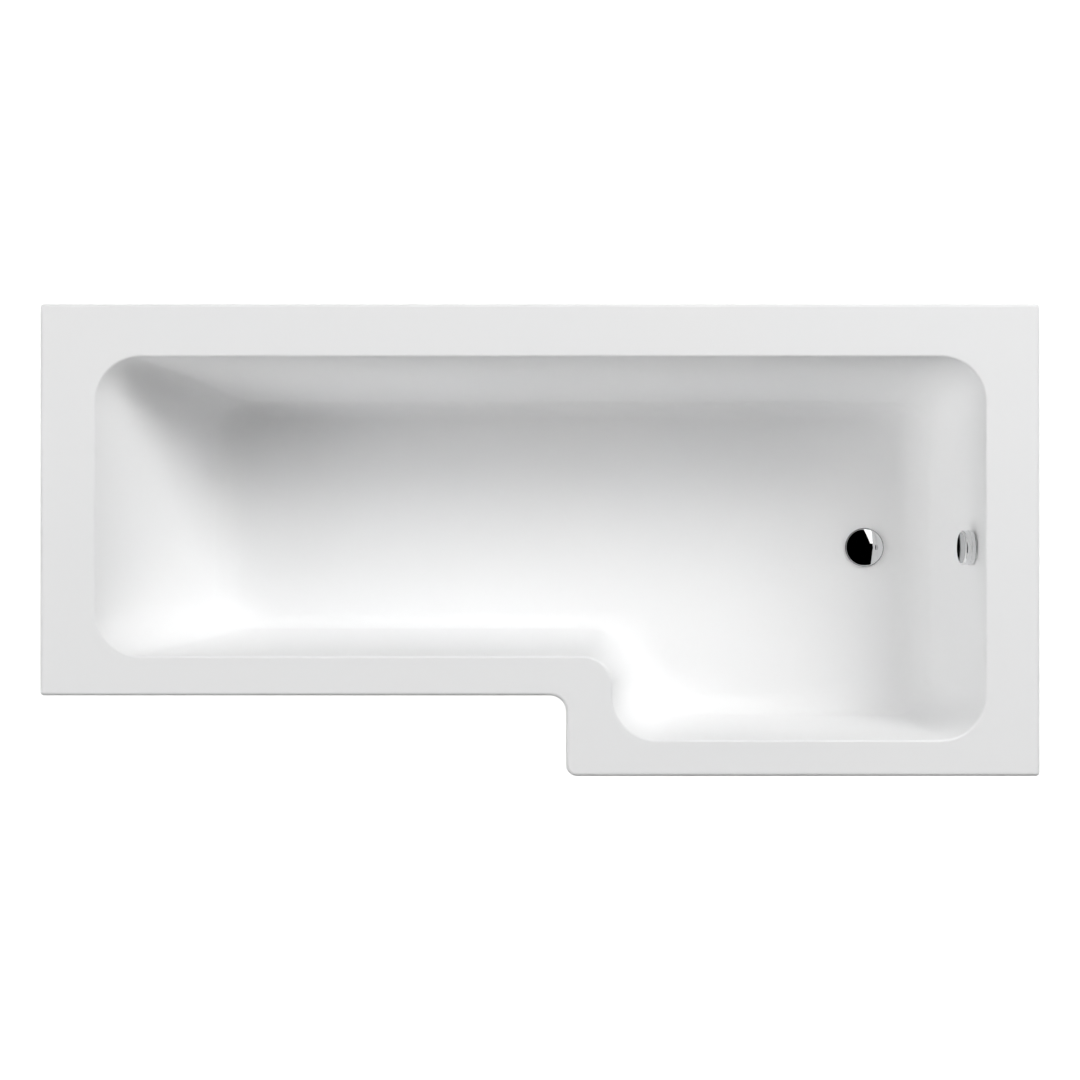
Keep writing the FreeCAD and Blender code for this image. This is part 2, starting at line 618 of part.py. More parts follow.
def levelling_feet():
    """Studs with pads that slide through the bars, held by a nut and washer above and below."""
    pad_profile = [
        ("0", "0"), ("sizes.pad_radius", "0"), ("sizes.pad_radius", "sizes.pad_base"),
        ("sizes.pad_hub_radius", "sizes.pad_base * 2"), ("sizes.pad_hub_radius", "sizes.pad_height"),
        ("sizes.stud_radius", "sizes.pad_height"), ("sizes.stud_radius", "sizes.pad_floor"),
        ("0", "sizes.pad_floor"),
    ]
    bore = "sizes.stud_radius + sizes.stud_clearance"
    nuts, washers = [], []
    for name, x, y in foot_places():
        pad = turned(f"foot_pad_{name}", pad_profile)
        edge = size("pad_base")
        rounded(pad, f"foot_pad_{name}_edge", "sizes.pad_base / 3",
                lambda e: abs(e.BoundBox.ZMin - edge) < 1e-6 and abs(e.BoundBox.ZMax - edge) < 1e-6)
        sub_part(place(pad, x, y), f"foot_pad_{name}")
        stud = cylinder(f"stud_{name}", "sizes.stud_radius", f"{STUD_TOP} - sizes.pad_floor",
                        x, y, "sizes.pad_floor")
        sub_part(stud, f"foot_stud_{name}")
        above, below = BOARD_BOTTOM, f"({WEB_BOTTOM} - sizes.washer_thick)"
        for side, z in (("upper", above), ("lower", below)):
            washers.append(ring(f"washer_{side}_{name}", "sizes.washer_radius", bore,
                                "sizes.washer_thick", z, x, y))
        seats = (("upper", f"{above} + sizes.washer_thick"), ("lower", f"{below} - sizes.nut_height"))
        for side, z in seats:
            prism = doc.addObject("Part::Prism", f"nut_{side}_{name}_hex")
            prism.Polygon = 6
            bind(prism, Circumradius="sizes.nut_radius", Height="sizes.nut_height")
            place(prism, x, y, z)
            hole = cylinder(f"nut_{side}_{name}_bore", bore, "sizes.nut_height + 2", x, y, f"{z} - 1")
            nuts.append(cut(f"nut_{side}_{name}", prism, [hole]))
    sub_part(group("nut_group", nuts), "levelling_nuts")
    sub_part(group("washer_group", washers), "levelling_washers")


# Pop-up waste

FLANGE_BOTTOM = "sizes.flange_seal_thick"
FLANGE_TOP = "(sizes.flange_seal_thick + sizes.flange_thick)"
PLUG_BOTTOM = f"({FLANGE_TOP} + sizes.plug_gap)"
PLUG_TOP = f"({PLUG_BOTTOM} + sizes.plug_edge + sizes.plug_dome)"
PLUG_SEAL_BOTTOM = f"({PLUG_BOTTOM} - sizes.plug_seal_height)"
SEAT_LOW = f"({FLANGE_BOTTOM} + sizes.flange_seat_low)"
SEAT_SLOPE = f"((sizes.flange_seat_radius - sizes.waste_tube_bore) / ({FLANGE_TOP} - {SEAT_LOW}))"
BODY_TOP = f"(-{SKIN} - sizes.body_seal_thick)"
NECK_BORE = "(sizes.waste_tube_radius + sizes.thread_clearance)"


def waste_flange():
    """The flange that shows in the floor, with its threaded tube and stem guide."""
    profile = [
        ("sizes.waste_tube_bore", "-sizes.waste_tube_length"),
        ("sizes.waste_tube_radius", "-sizes.waste_tube_length"),
        ("sizes.waste_tube_radius", FLANGE_BOTTOM), ("sizes.flange_radius", FLANGE_BOTTOM),
        ("sizes.flange_radius", FLANGE_TOP), ("sizes.flange_seat_radius", FLANGE_TOP),
        ("sizes.waste_tube_bore", SEAT_LOW),
    ]
    body = turned("waste_flange", profile)
    rim = size("flange_radius")
    top = num(FLANGE_TOP)
    rounded(body, "waste_flange_edge", "sizes.flange_edge",
            lambda e: abs(e.BoundBox.XMax - rim) < 1e-6 and abs(e.BoundBox.ZMin - top) < 1e-6)
    low = "-(sizes.spider_drop + sizes.spider_depth)"
    reach = "(sizes.waste_tube_bore + sizes.waste_tube_radius) / 2"
    half = "sizes.spider_bar / 2"
    arms = [
        box("spider_x", (f"-{reach}", reach), (f"-{half}", half), (low, "-sizes.spider_drop")),
        box("spider_y", (f"-{half}", half), (f"-{reach}", reach), (low, "-sizes.spider_drop")),
    ]
    hub = cylinder("spider_hub", "sizes.spider_hub_radius", "sizes.spider_depth", z=low)
    guide = cylinder("stem_guide", "sizes.stem_radius + sizes.stem_clearance",
                     "2 * sizes.spider_depth", z=f"{low} - sizes.spider_depth / 2")
    flange = cut("flange_guided", fuse("flange_spider", [body, *arms, hub]), [guide])
    sub_part(in_waste_frame(flange), "waste_flange")


def waste_seals():
    """The soft washers above and below the tub's floor."""
    bore = "sizes.waste_hole_radius"
    sub_part(in_waste_frame(ring("upper_seal", "sizes.flange_seal_radius", bore,
                                 "sizes.flange_seal_thick")), "flange_seal")
    sub_part(in_waste_frame(ring("lower_seal", "sizes.body_seal_radius", bore,
                                 "sizes.body_seal_thick", BODY_TOP)), "waste_body_seal")


def pop_up_plug():
    """The domed plug, its seal and its stem, which rise together."""
    ball = doc.addObject("Part::Sphere", "plug_ball")
    dome_radius = "(sizes.plug_radius ^ 2 + sizes.plug_dome ^ 2) / (2 * sizes.plug_dome)"
    bind(ball, Radius=dome_radius)
    place(ball, z=f"{PLUG_TOP} - {dome_radius}")
    disc = cylinder("plug_disc", "sizes.plug_radius", "2 * sizes.plug_dome + sizes.plug_edge",
                    z=PLUG_BOTTOM)
    cap = doc.addObject("Part::Common", "plug_cap_dome")
    cap.Base, cap.Tool = ball, disc
    sub_part(in_waste_frame(cap), "plug_cap")
    rise = f"({PLUG_SEAL_BOTTOM} - sizes.plug_gap - {SEAT_LOW})"
    low_radius = f"sizes.waste_tube_bore + {rise} * {SEAT_SLOPE}"
    seal = turned("plug_seal", [
        ("sizes.stem_collar_radius", PLUG_BOTTOM), ("sizes.stem_collar_radius", PLUG_SEAL_BOTTOM),
        (low_radius, PLUG_SEAL_BOTTOM), ("sizes.flange_seat_radius", PLUG_BOTTOM),
    ])
    sub_part(in_waste_frame(seal), "plug_seal")
    stem = turned("plug_stem", [
        ("0", "-sizes.stem_drop"), ("sizes.stem_radius", "-sizes.stem_drop"),
        ("sizes.stem_radius", PLUG_SEAL_BOTTOM), ("sizes.stem_collar_radius", PLUG_SEAL_BOTTOM),
        ("sizes.stem_collar_radius", PLUG_BOTTOM), ("0", PLUG_BOTTOM),
    ])
    sub_part(in_waste_frame(stem), "plug_stem")


BRANCH_Z = "-sizes.branch_drop"
BRANCH_TURN = "90 deg - sizes.branch_rise * 1 deg"


def waste_body():
    """The moulded body under the floor: chamber, threaded tail, branch and cable gland."""
    outside = "(sizes.chamber_radius + sizes.body_wall)"
    profile = [
        ("0", BODY_TOP), ("sizes.body_flange_radius", BODY_TOP),
        ("sizes.body_flange_radius", f"{BODY_TOP} - sizes.body_flange"),
        (outside, f"{BODY_TOP} - sizes.body_flange"), (outside, "-sizes.chamber_floor"),
        ("sizes.tail_radius", "-sizes.tail_shoulder"), ("sizes.tail_radius", "-sizes.tail_end"),
        ("0", "-sizes.tail_end"),
    ]
    blank = turned("waste_body", profile)
    branch = cylinder("waste_branch", "sizes.spigot_radius", "sizes.branch_reach", z=BRANCH_Z,
                      axis=V(0, 1, 0), angle=BRANCH_TURN)
    gland = cylinder("waste_gland", "sizes.gland_radius", "sizes.lower_gland_reach",
                     z="-sizes.lower_gland_drop", axis=V(1, 0, 0), angle="-90 deg")
    void = turned("waste_void", [
        ("0", f"{BODY_TOP} + 1"), (NECK_BORE, f"{BODY_TOP} + 1"), (NECK_BORE, "-sizes.chamber_top"),
        ("sizes.chamber_radius", "-sizes.chamber_top"),
        ("sizes.chamber_radius", "-sizes.chamber_floor + sizes.body_wall"),
        ("sizes.tail_bore", "-sizes.chamber_floor"), ("sizes.tail_bore", "-sizes.tail_end - 1"),
        ("0", "-sizes.tail_end - 1"),
    ])
    bore = cylinder("branch_bore", "sizes.hose_bore", "sizes.branch_reach + 1", z=BRANCH_Z,
                    axis=V(0, 1, 0), angle=BRANCH_TURN)
    wire_way = cylinder("gland_wire_way", "sizes.cable_radius / 2", "sizes.lower_gland_reach",
                        z="-sizes.lower_gland_drop", axis=V(1, 0, 0), angle="-90 deg")
    seat = cylinder("gland_seat", "sizes.gland_bore", "sizes.gland_seat + 1",
                    y="sizes.lower_gland_reach - sizes.gland_seat", z="-sizes.lower_gland_drop",
                    axis=V(1, 0, 0), angle="-90 deg")
    pin_hole = cylinder("lever_pin_hole", "sizes.lever_pin_radius + sizes.lever_clearance / 3",
                        "2 * sizes.lever_pin_half", x="-sizes.lever_pin_half", y="sizes.lever_arm",
                        z=LEVER_Z, axis=V(0, 1, 0), angle="90 deg")
    body = cut("waste_body_bored", fuse("waste_body_solid", [blank, branch, gland]),
               [fuse("waste_body_voids", [void, bore, wire_way, seat]), pin_hole])
    sub_part(in_waste_frame(body), "waste_body")


LEVER_DIP = "(sizes.plug_lift / 2)"
LEVER_SIDE = f"sqrt(sizes.lever_arm ^ 2 - {LEVER_DIP} ^ 2)"
LEVER_TILT = f"asin({LEVER_DIP} / sizes.lever_arm)"
LEVER_Z = f"(-sizes.stem_drop - sizes.lever_gap - sizes.lever_nose + {LEVER_DIP})"


def lift_lever():
    """The bell crank in the chamber: the cable pushes its drop arm, its nose lifts the stem."""
    arm = "2 * sizes.lever_nose"
    nose = cylinder("lever_nose", "sizes.lever_nose", "sizes.lever_width",
                    "-sizes.lever_width / 2", f"-{LEVER_SIDE}", f"-{LEVER_DIP}", V(0, 1, 0), "90 deg")
    hub = cylinder("lever_hub", "2 * sizes.lever_pin_radius", "sizes.lever_width",
                   "-sizes.lever_width / 2", axis=V(0, 1, 0), angle="90 deg")
    beam = box("lever_beam", ("-sizes.lever_width / 2", "sizes.lever_width / 2"),
               ("-sizes.lever_arm", "0"), ("-sizes.lever_nose", "sizes.lever_nose / 3"))
    tilted = place(group("lever_tilted", [beam]), axis=V(1, 0, 0), angle=LEVER_TILT)
    drop = box("lever_drop_arm", ("-sizes.lever_width / 2", "sizes.lever_width / 2"),
               ("-sizes.lever_pin_radius", "sizes.lever_pin_radius"),
               (f"-sizes.lever_drop_arm - {arm} / 2", "0"))
    hole = cylinder("lever_bore", "sizes.lever_pin_radius + sizes.lever_clearance",
                    "2 * sizes.lever_width", "-sizes.lever_width", axis=V(0, 1, 0), angle="90 deg")
    lever = cut("lever_bored", fuse("lever_solid", [nose, hub, tilted, drop]), [hole])
    place(lever, WASTE_X, f"{WASTE_Y} + sizes.lever_arm", f"{FLOOR} + {LEVER_Z}")
    sub_part(lever, "lift_lever")
    pin = cylinder("pin", "sizes.lever_pin_radius", "2 * sizes.lever_pin_half",
                   f"{WASTE_X} - sizes.lever_pin_half", f"{WASTE_Y} + sizes.lever_arm",
                   f"{FLOOR} + {LEVER_Z}", V(0, 1, 0), "90 deg")
    sub_part(pin, "lever_pin")


# Overflow, about its own axis: local Z into the basin, local X up the end wall

CUP_FRONT = f"(-{SKIN} - sizes.gasket_gap - sizes.gasket_thick)"


def overflow_bezel():
    """The ring in the overflow hole, with the front bearing of the spindle."""
    profile = [
        ("sizes.bezel_bore", "-sizes.bezel_length"), ("sizes.bezel_tube_radius", "-sizes.bezel_length"),
        ("sizes.bezel_tube_radius", "sizes.bezel_gap"), ("sizes.bezel_radius", "sizes.bezel_gap"),
        ("sizes.bezel_radius", "sizes.bezel_thick"), ("sizes.bezel_bore", "sizes.bezel_thick"),
    ]
    ring_body = turned("bezel", profile)
    reach = "(sizes.bezel_bore + sizes.bezel_tube_radius) / 2"
    half = "sizes.spider_bar / 2"
    low = "-sizes.bezel_hub_depth"
    arms = [
        box("bezel_arm_x", (f"-{reach}", reach), (f"-{half}", half), (low, "0")),
        box("bezel_arm_y", (f"-{half}", half), (f"-{reach}", reach), (low, "0")),
    ]
    hub = cylinder("bezel_hub", "sizes.bezel_hub_radius", "sizes.bezel_hub_depth", z=low)
    bearing = cylinder("bezel_bearing", "sizes.spindle_radius + sizes.spindle_clearance",
                       "2 * sizes.bezel_hub_depth", z=f"2 * {low} + sizes.bezel_hub_depth / 2")
    bezel = cut("bezel_bored", fuse("bezel_solid", [ring_body, *arms, hub]), [bearing])
    sub_part(in_overflow_frame(bezel), "overflow_bezel")


def overflow_gasket():
    """The soft washer between the tub's outside and the overflow body."""
    gasket = ring("gasket", "sizes.gasket_radius", "sizes.overflow_hole_radius",
                  "sizes.gasket_thick", CUP_FRONT)
    sub_part(in_overflow_frame(gasket), "overflow_gasket")


def overflow_body():
    """The cup behind the end wall, with its hose spigot and cable gland."""
    blank = turned("cup", [
        ("0", CUP_FRONT), ("sizes.gasket_radius", CUP_FRONT),
        ("sizes.gasket_radius", f"{CUP_FRONT} - sizes.overflow_flange"),
        ("sizes.cup_radius", f"{CUP_FRONT} - sizes.overflow_flange"),
        ("sizes.cup_radius", "-sizes.cup_depth"), ("0", "-sizes.cup_depth"),
    ])
    neck = "(sizes.bezel_tube_radius + sizes.thread_clearance)"
    void = turned("cup_void", [
        ("0", f"{CUP_FRONT} + 1"), (neck, f"{CUP_FRONT} + 1"), (neck, "-sizes.neck_end"),
        ("sizes.cup_bore", "-sizes.neck_end"), ("sizes.cup_bore", "-sizes.cup_depth + sizes.cup_back"),
        ("0", "-sizes.cup_depth + sizes.cup_back"),
    ])
    down = {"axis": V(0, 1, 0), "angle": "-90 deg"}
    spigot = cylinder("spigot", "sizes.spigot_radius", "sizes.spigot_reach",
                      z="-sizes.spigot_depth", **down)
    gland = cylinder("cup_gland", "sizes.gland_radius", "sizes.upper_gland_reach",
                     y="sizes.upper_gland_side", z="-sizes.upper_gland_depth", **down)
    bore = cylinder("spigot_bore", "sizes.hose_bore", "sizes.spigot_reach + 1",
                    z="-sizes.spigot_depth", **down)
    wire_way = cylinder("cup_wire_way", "sizes.cable_radius / 2", "sizes.upper_gland_reach",
                        y="sizes.upper_gland_side", z="-sizes.upper_gland_depth", **down)
    seat = cylinder("cup_gland_seat", "sizes.gland_bore", "sizes.gland_seat + 1",
                    x="sizes.gland_seat - sizes.upper_gland_reach", y="sizes.upper_gland_side",
                    z="-sizes.upper_gland_depth", **down)
    bearing = cylinder("cup_bearing", "sizes.spindle_radius + sizes.spindle_clearance",
                       "2 * sizes.cup_back", z="-sizes.cup_depth - sizes.cup_back / 2")
    voids = fuse("cup_voids", [void, bore, wire_way, seat, bearing])
    cup = cut("cup_bored", fuse("cup_solid", [blank, spigot, gland]), [voids])
    sub_part(in_overflow_frame(cup), "overflow_body")


def overflow_knob():
    """The round knob over the overflow, its spindle and the crank that drives the cable."""
    front = "(sizes.knob_standoff + sizes.knob_thick)"
    ceiling = f"({front} - sizes.knob_face)"
    boss_end = "sizes.knob_standoff + sizes.knob_wall"
    knob = turned("knob", [
        ("sizes.spindle_radius", boss_end), ("sizes.knob_boss_radius", boss_end),
        ("sizes.knob_boss_radius", ceiling), ("sizes.knob_radius - sizes.knob_wall", ceiling),
        ("sizes.knob_radius - sizes.knob_wall", "sizes.knob_standoff"),
        ("sizes.knob_radius", "sizes.knob_standoff"), ("sizes.knob_radius", front), ("0", front),
        ("0", ceiling), ("sizes.spindle_radius", ceiling),
    ])
    outer, top = size("knob_radius"), num(front)
    rounded(knob, "knob_edge", "sizes.knob_edge_radius",
            lambda e: abs(e.BoundBox.XMax - outer) < 1e-6 and abs(e.BoundBox.ZMin - top) < 1e-6)
    sub_part(in_overflow_frame(knob), "overflow_knob")
    tail = "-sizes.cup_depth + sizes.cup_back / 4"
    rod = cylinder("spindle_rod", "sizes.spindle_radius", f"{ceiling} - ({tail})", z=tail)
    sub_part(in_overflow_frame(group("spindle_group", [rod])), "knob_spindle")
    disc = ring("crank_disc", "sizes.crank_radius", "sizes.spindle_radius", "sizes.crank_thick",
                "-sizes.crank_depth")
    throw = "(sizes.spindle_radius + sizes.crank_throw - sizes.crank_pin_radius)"
    pin = cylinder("crank_pin", "sizes.crank_pin_radius", "sizes.crank_pin_length", y=throw,
                   z="-sizes.crank_depth - sizes.crank_pin_length + sizes.crank_thick / 2")
    sub_part(in_overflow_frame(fuse("crank_solid", [disc, pin])), "cable_crank")


# Hose and cable

def overflow_point(up, side, inward):
    """A point given in the overflow's frame, in the bath's frame."""
    turn = FreeCAD.Rotation(V(0, 1, 0), num(WALL_ANGLE) - 90)
    return V(num(OVERFLOW_X), num(WASTE_Y), num(OVERFLOW_Z)) + turn.multVec(V(up, side, inward))


def waste_point(x, y, z):
    """A point given in the waste's frame, in the bath's frame."""
    return V(num(WASTE_X) + x, num(WASTE_Y) + y, num(FLOOR) + z)


def hose_ends():
    """Both ends of the hose's middle line, and where its two straight runs would meet."""
    rise = math.radians(size("branch_rise"))
    out = V(math.cos(rise), 0, math.sin(rise))
    lower = waste_point(0, 0, num(BRANCH_Z)) + out * size("branch_reach")
    upper = overflow_point(-size("spigot_reach"), 0, -size("spigot_depth"))
    down = (overflow_point(-1, 0, 0) - overflow_point(0, 0, 0)).normalize()
    along = upper - lower
    reach = (along.x * down.z - along.z * down.x) / (out.x * down.z - out.z * down.x)
    return upper, down, lower + out * reach, out, lower


def arc_between(before, corner, after, radius):
    """The tangent arc at a corner: its ends, its middle and its centre."""
    back = (before - corner).normalize()
    ahead = (after - corner).normalize()
    half = back.getAngle(ahead) / 2
    reach = radius / math.tan(half)
    centre = corner + (back + ahead).normalize() * (radius / math.sin(half))
    middle = centre + (corner - centre).normalize() * radius
    return corner + back * reach, middle, corner + ahead * reach, centre


def overflow_hose():
    """A ribbed hose from the overflow's spigot to the waste's branch, with plain cuffs."""
    upper, down, corner, out, lower = hose_ends()
    cuff, pitch = size("hose_cuff"), size("hose_pitch")
    half = (upper - corner).getAngle(lower - corner) / 2
    radius = (lower.distanceToPoint(corner) - cuff) * math.tan(half)
    start, _, end, centre = arc_between(upper, corner, lower, radius)
    straight = upper.distanceToPoint(start)
    sweep = radius * (math.pi - 2 * half)
    total = straight + sweep + end.distanceToPoint(lower)
    axis = (start - centre).cross(end - centre).normalize()

    def station(at):
        if at <= straight:
            return upper + down * at, down
        if at >= straight + sweep:
            return end - out * (at - straight - sweep), out * -1
        turn = FreeCAD.Rotation(axis, math.degrees((at - straight) / radius))
        return centre + turn.multVec(start - centre), turn.multVec(down)

    def circle(at, circle_radius):
        place_at, along = station(at)
        wire = Part.Wire([Part.makeCircle(circle_radius)])
        wire.Placement = FreeCAD.Placement(place_at, FreeCAD.Rotation(V(0, 1, 0), V(), along, "ZXY"))
        return wire

    ribs = int((total - 2 * cuff) / pitch)
    first = (total - ribs * pitch) / 2
    crest, root = size("hose_radius"), size("hose_root")
    rings = [circle(0, crest), circle(first, crest)]
    for rib in range(ribs):
        base = first + rib * pitch
        rings += [circle(base + share * pitch, r)
                  for share, r in ((0.2, root), (0.45, root), (0.65, crest), (1, crest))]
    rings.append(circle(total, crest))
    bore = [circle(at, size("hose_bore")) for at in (0, straight)]
    steps = 12
    bore += [circle(straight + sweep * i / steps, size("hose_bore")) for i in range(1, steps)]
    bore += [circle(at, size("hose_bore")) for at in (straight + sweep, total)]
    hose = doc.addObject("Part::Feature", "hose")
    hose.Shape = Part.makeLoft(rings, True, True).cut(Part.makeLoft(bore, True, True))
    print(f"hose: {total:.0f} mm long, {ribs} ribs, bend radius {radius:.0f} mm")
    sub_part(hose, "overflow_hose")


def hose_nuts():
    """The ring nuts that hold the hose on its two spigots."""
    over_spigot = "sizes.spigot_radius + sizes.nut_clearance"
    over_hose = "sizes.hose_radius + sizes.nut_clearance"
    profile = [
        (over_spigot, "-sizes.nut_over_spigot"), ("sizes.nut_ring_radius", "-sizes.nut_over_spigot"),
        ("sizes.nut_ring_radius", "sizes.nut_over_hose"), (over_hose, "sizes.nut_over_hose"),
        (over_hose, "0"), (over_spigot, "0"),
    ]
    rise = "sizes.branch_rise * 1 deg"
    lower = turned("lower_nut", profile)
    place(lower, f"{WASTE_X} + sizes.branch_reach * cos({rise})", WASTE_Y,
          f"{FLOOR} + {BRANCH_Z} + sizes.branch_reach * sin({rise})", V(0, 1, 0), BRANCH_TURN)
    sub_part(lower, "hose_nut_lower")
    upper = turned("upper_nut", profile)
    place(upper,
          f"{OVERFLOW_X} + sizes.spigot_depth * cos({WALL_ANGLE}) - sizes.spigot_reach * sin({WALL_ANGLE})",
          WASTE_Y,
          f"{OVERFLOW_Z} - sizes.spigot_depth * sin({WALL_ANGLE}) - sizes.spigot_reach * cos({WALL_ANGLE})",
          V(0, 1, 0), f"180 deg + {WALL_ANGLE}")
    sub_part(upper, "hose_nut_upper")


def operating_cable():
    """The sheathed push-pull cable between the two glands, with arcs as large as its runs allow."""
    seat = size("gland_seat")
    down = seat - size("upper_gland_reach")
    side, depth = size("upper_gland_side"), -size("upper_gland_depth")
    start = overflow_point(down, side, depth)
    lead = overflow_point(down - CABLE_LEAD, side, depth)
    end = waste_point(0, size("lower_gland_reach") - seat, -size("lower_gland_drop"))
    points = [start, lead, *(waste_point(*p) for p in CABLE_ROUTE), end]
    edges, at = [], start
    for before, corner, after in zip(points, points[1:], points[2:]):
        half = (before - corner).getAngle(after - corner) / 2
        reach = 0.45 * min(before.distanceToPoint(corner), corner.distanceToPoint(after))
        radius = reach * math.tan(half)
        print(f"cable bend radius {radius:.0f} mm")
        first, middle, last, _ = arc_between(before, corner, after, radius)
        edges.append(Part.LineSegment(at, first).toShape())
        edges.append(Part.Arc(first, middle, last).toShape())
        at = last
    edges.append(Part.LineSegment(at, end).toShape())
    path = Part.Wire(edges)
    section = Part.Wire([Part.makeCircle(size("cable_radius"), start, points[1] - start)])
    cable = doc.addObject("Part::Feature", "cable")
    cable.Shape = path.makePipeShell([section], True, False)
    share = cable.Shape.Volume / (math.pi * size("cable_radius") ** 2 * path.Length)
    print(f"cable: {path.Length:.0f} mm long, volume {share:.4f} of its section times its length")
    sub_part(cable, "operating_cable")


def build():
    """Makes every piece, from the tub down."""
    acrylic_shell()
    fibreglass_backing()
    baseboard()
    rim_battens()
    wall_brackets()
    cross_bars()
    levelling_feet()
    waste_flange()
    waste_seals()
    pop_up_plug()
    waste_body()
    lift_lever()
    overflow_bezel()
    overflow_gasket()
    overflow_body()
    overflow_knob()
    overflow_hose()
    hose_nuts()
    operating_cable()


def check_and_write():
    """Checks every feature and piece, then writes each piece to its file."""
    doc.recompute()
    failed = [o.Name for o in doc.Objects if {"Invalid", "Error"} & set(o.State)]
    failed += [p.Label for p in pieces if p.Shape.isNull() or not p.Shape.isValid() or not p.Shape.Solids]
    if failed:
        raise RuntimeError(f"failed features: {failed}")
    os.makedirs("parts", exist_ok=True)
    for piece in pieces:
        piece.Shape.exportStep(f"parts/{piece.Label}.step")
    print(f"{len(pieces)} pieces written")


build()
check_and_write()
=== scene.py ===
"""Looks of an L-shaped shower bath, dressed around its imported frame.

Metres, +X along the bath to the waste end, +Y to the back wall, +Z up from the floor.
"""

import json
import logging
import math
from collections.abc import Sequence
from dataclasses import dataclass
from enum import Enum
from functools import partialmethod

import bmesh
import bpy
from mathutils import Matrix, Vector

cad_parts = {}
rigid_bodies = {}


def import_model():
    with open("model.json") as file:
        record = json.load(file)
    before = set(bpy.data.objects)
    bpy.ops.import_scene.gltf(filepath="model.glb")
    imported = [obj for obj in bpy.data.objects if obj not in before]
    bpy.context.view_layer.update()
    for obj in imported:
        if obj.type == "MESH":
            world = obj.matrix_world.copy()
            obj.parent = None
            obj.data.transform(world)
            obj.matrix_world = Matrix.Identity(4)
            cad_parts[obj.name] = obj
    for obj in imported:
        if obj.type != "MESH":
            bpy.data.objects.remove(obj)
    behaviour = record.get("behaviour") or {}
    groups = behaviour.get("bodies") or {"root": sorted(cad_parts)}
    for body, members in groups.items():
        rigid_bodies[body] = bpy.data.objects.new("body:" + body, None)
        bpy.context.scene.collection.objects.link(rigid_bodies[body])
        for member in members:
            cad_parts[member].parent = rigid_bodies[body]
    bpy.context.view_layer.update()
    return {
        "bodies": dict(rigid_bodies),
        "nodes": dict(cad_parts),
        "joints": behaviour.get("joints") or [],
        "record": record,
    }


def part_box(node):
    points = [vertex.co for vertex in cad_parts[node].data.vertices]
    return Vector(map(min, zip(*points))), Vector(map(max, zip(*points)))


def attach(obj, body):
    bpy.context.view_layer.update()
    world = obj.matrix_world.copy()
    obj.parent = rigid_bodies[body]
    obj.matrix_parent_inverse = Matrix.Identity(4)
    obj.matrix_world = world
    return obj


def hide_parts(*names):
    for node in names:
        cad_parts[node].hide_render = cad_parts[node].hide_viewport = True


LOG = logging.getLogger("shower_bath")
SMOOTH_ANGLE = math.radians(38)
BEVEL_ANGLE = math.radians(40)
FLAT_ANGLE = math.radians(0.2)
FULL_TURN = 2 * math.pi
FINE_STEP = 0.0006
NODE_MERGE = 2e-6
MESH_MERGE = 1e-7
ON_AXIS = 1e-9
CUT_OVER = 0.001
IDENTITY = Matrix.Identity(4).freeze()
Object = bpy.types.Object
Mesh = bpy.types.Mesh
Socket = bpy.types.NodeSocket
Ring = list[Vector]
Pair = tuple[float, float]
Spot = tuple[float, float, float]


class Side(Enum):
    """The six walls of the basin, in the order in which the rings meet them."""

    HEAD = "head"
    FRONT = "front"
    STEP = "step"
    SHOWER = "shower"
    WASTE = "waste"
    BACK = "back"


class Body(Enum):
    """The rigid bodies that pieces ride on, feet apart."""

    TUB = "tub"
    KNOB = "knob"
    PLUG = "plug"
    LEVER = "lever"


class NodeTree:
    """A tree of nodes in the making."""

    def __init__(self, tree: bpy.types.NodeTree) -> None:
        """Holds the tree."""
        self.tree = tree

    def node(self, kind: str, inputs: dict, output: int | str = 0, **settings: object) -> Socket:
        """Adds a node.

        Args:
            kind: The node's type.
            inputs: Plain values, numbers of the tree or sockets for its inputs, by name or index.
            output: The output to give back.
            settings: Properties of the node.

        Returns:
            The chosen output.
        """
        node = self.tree.nodes.new(kind)
        for name, value in settings.items():
            setattr(node, name, value)
        for name, value in inputs.items():
            source = value.socket if isinstance(value, Number) else value
            if isinstance(source, Socket):
                self.tree.links.new(source, node.inputs[name])
            else:
                node.inputs[name].default_value = source
        return node.outputs[output]

    def math(self, operation: str, *terms: object) -> Socket:
        """One sum of one or two values."""
        return self.node("ShaderNodeMath", dict(enumerate(terms)), operation=operation)

    def number(self, kind: str, inputs: dict, output: int | str = 0) -> "Number":
        """Adds a node that gives a number for sums."""
        return Number(self, self.node(kind, inputs, output))


@dataclass(frozen=True)
class Number:
    """A number in a node tree, with which sums are written as usual."""

    owner: NodeTree
    socket: Socket

    def to(self, operation: str, *other: object) -> "Number":
        """The result of an operation on this number, and on another one if it takes two."""
        return Number(self.owner, self.owner.math(operation, self, *other))

    __add__ = partialmethod(to, "ADD")
    __sub__ = partialmethod(to, "SUBTRACT")
    __mul__ = partialmethod(to, "MULTIPLY")
    __truediv__ = partialmethod(to, "DIVIDE")
    __gt__ = partialmethod(to, "GREATER_THAN")
    __lt__ = partialmethod(to, "LESS_THAN")


# Finishes

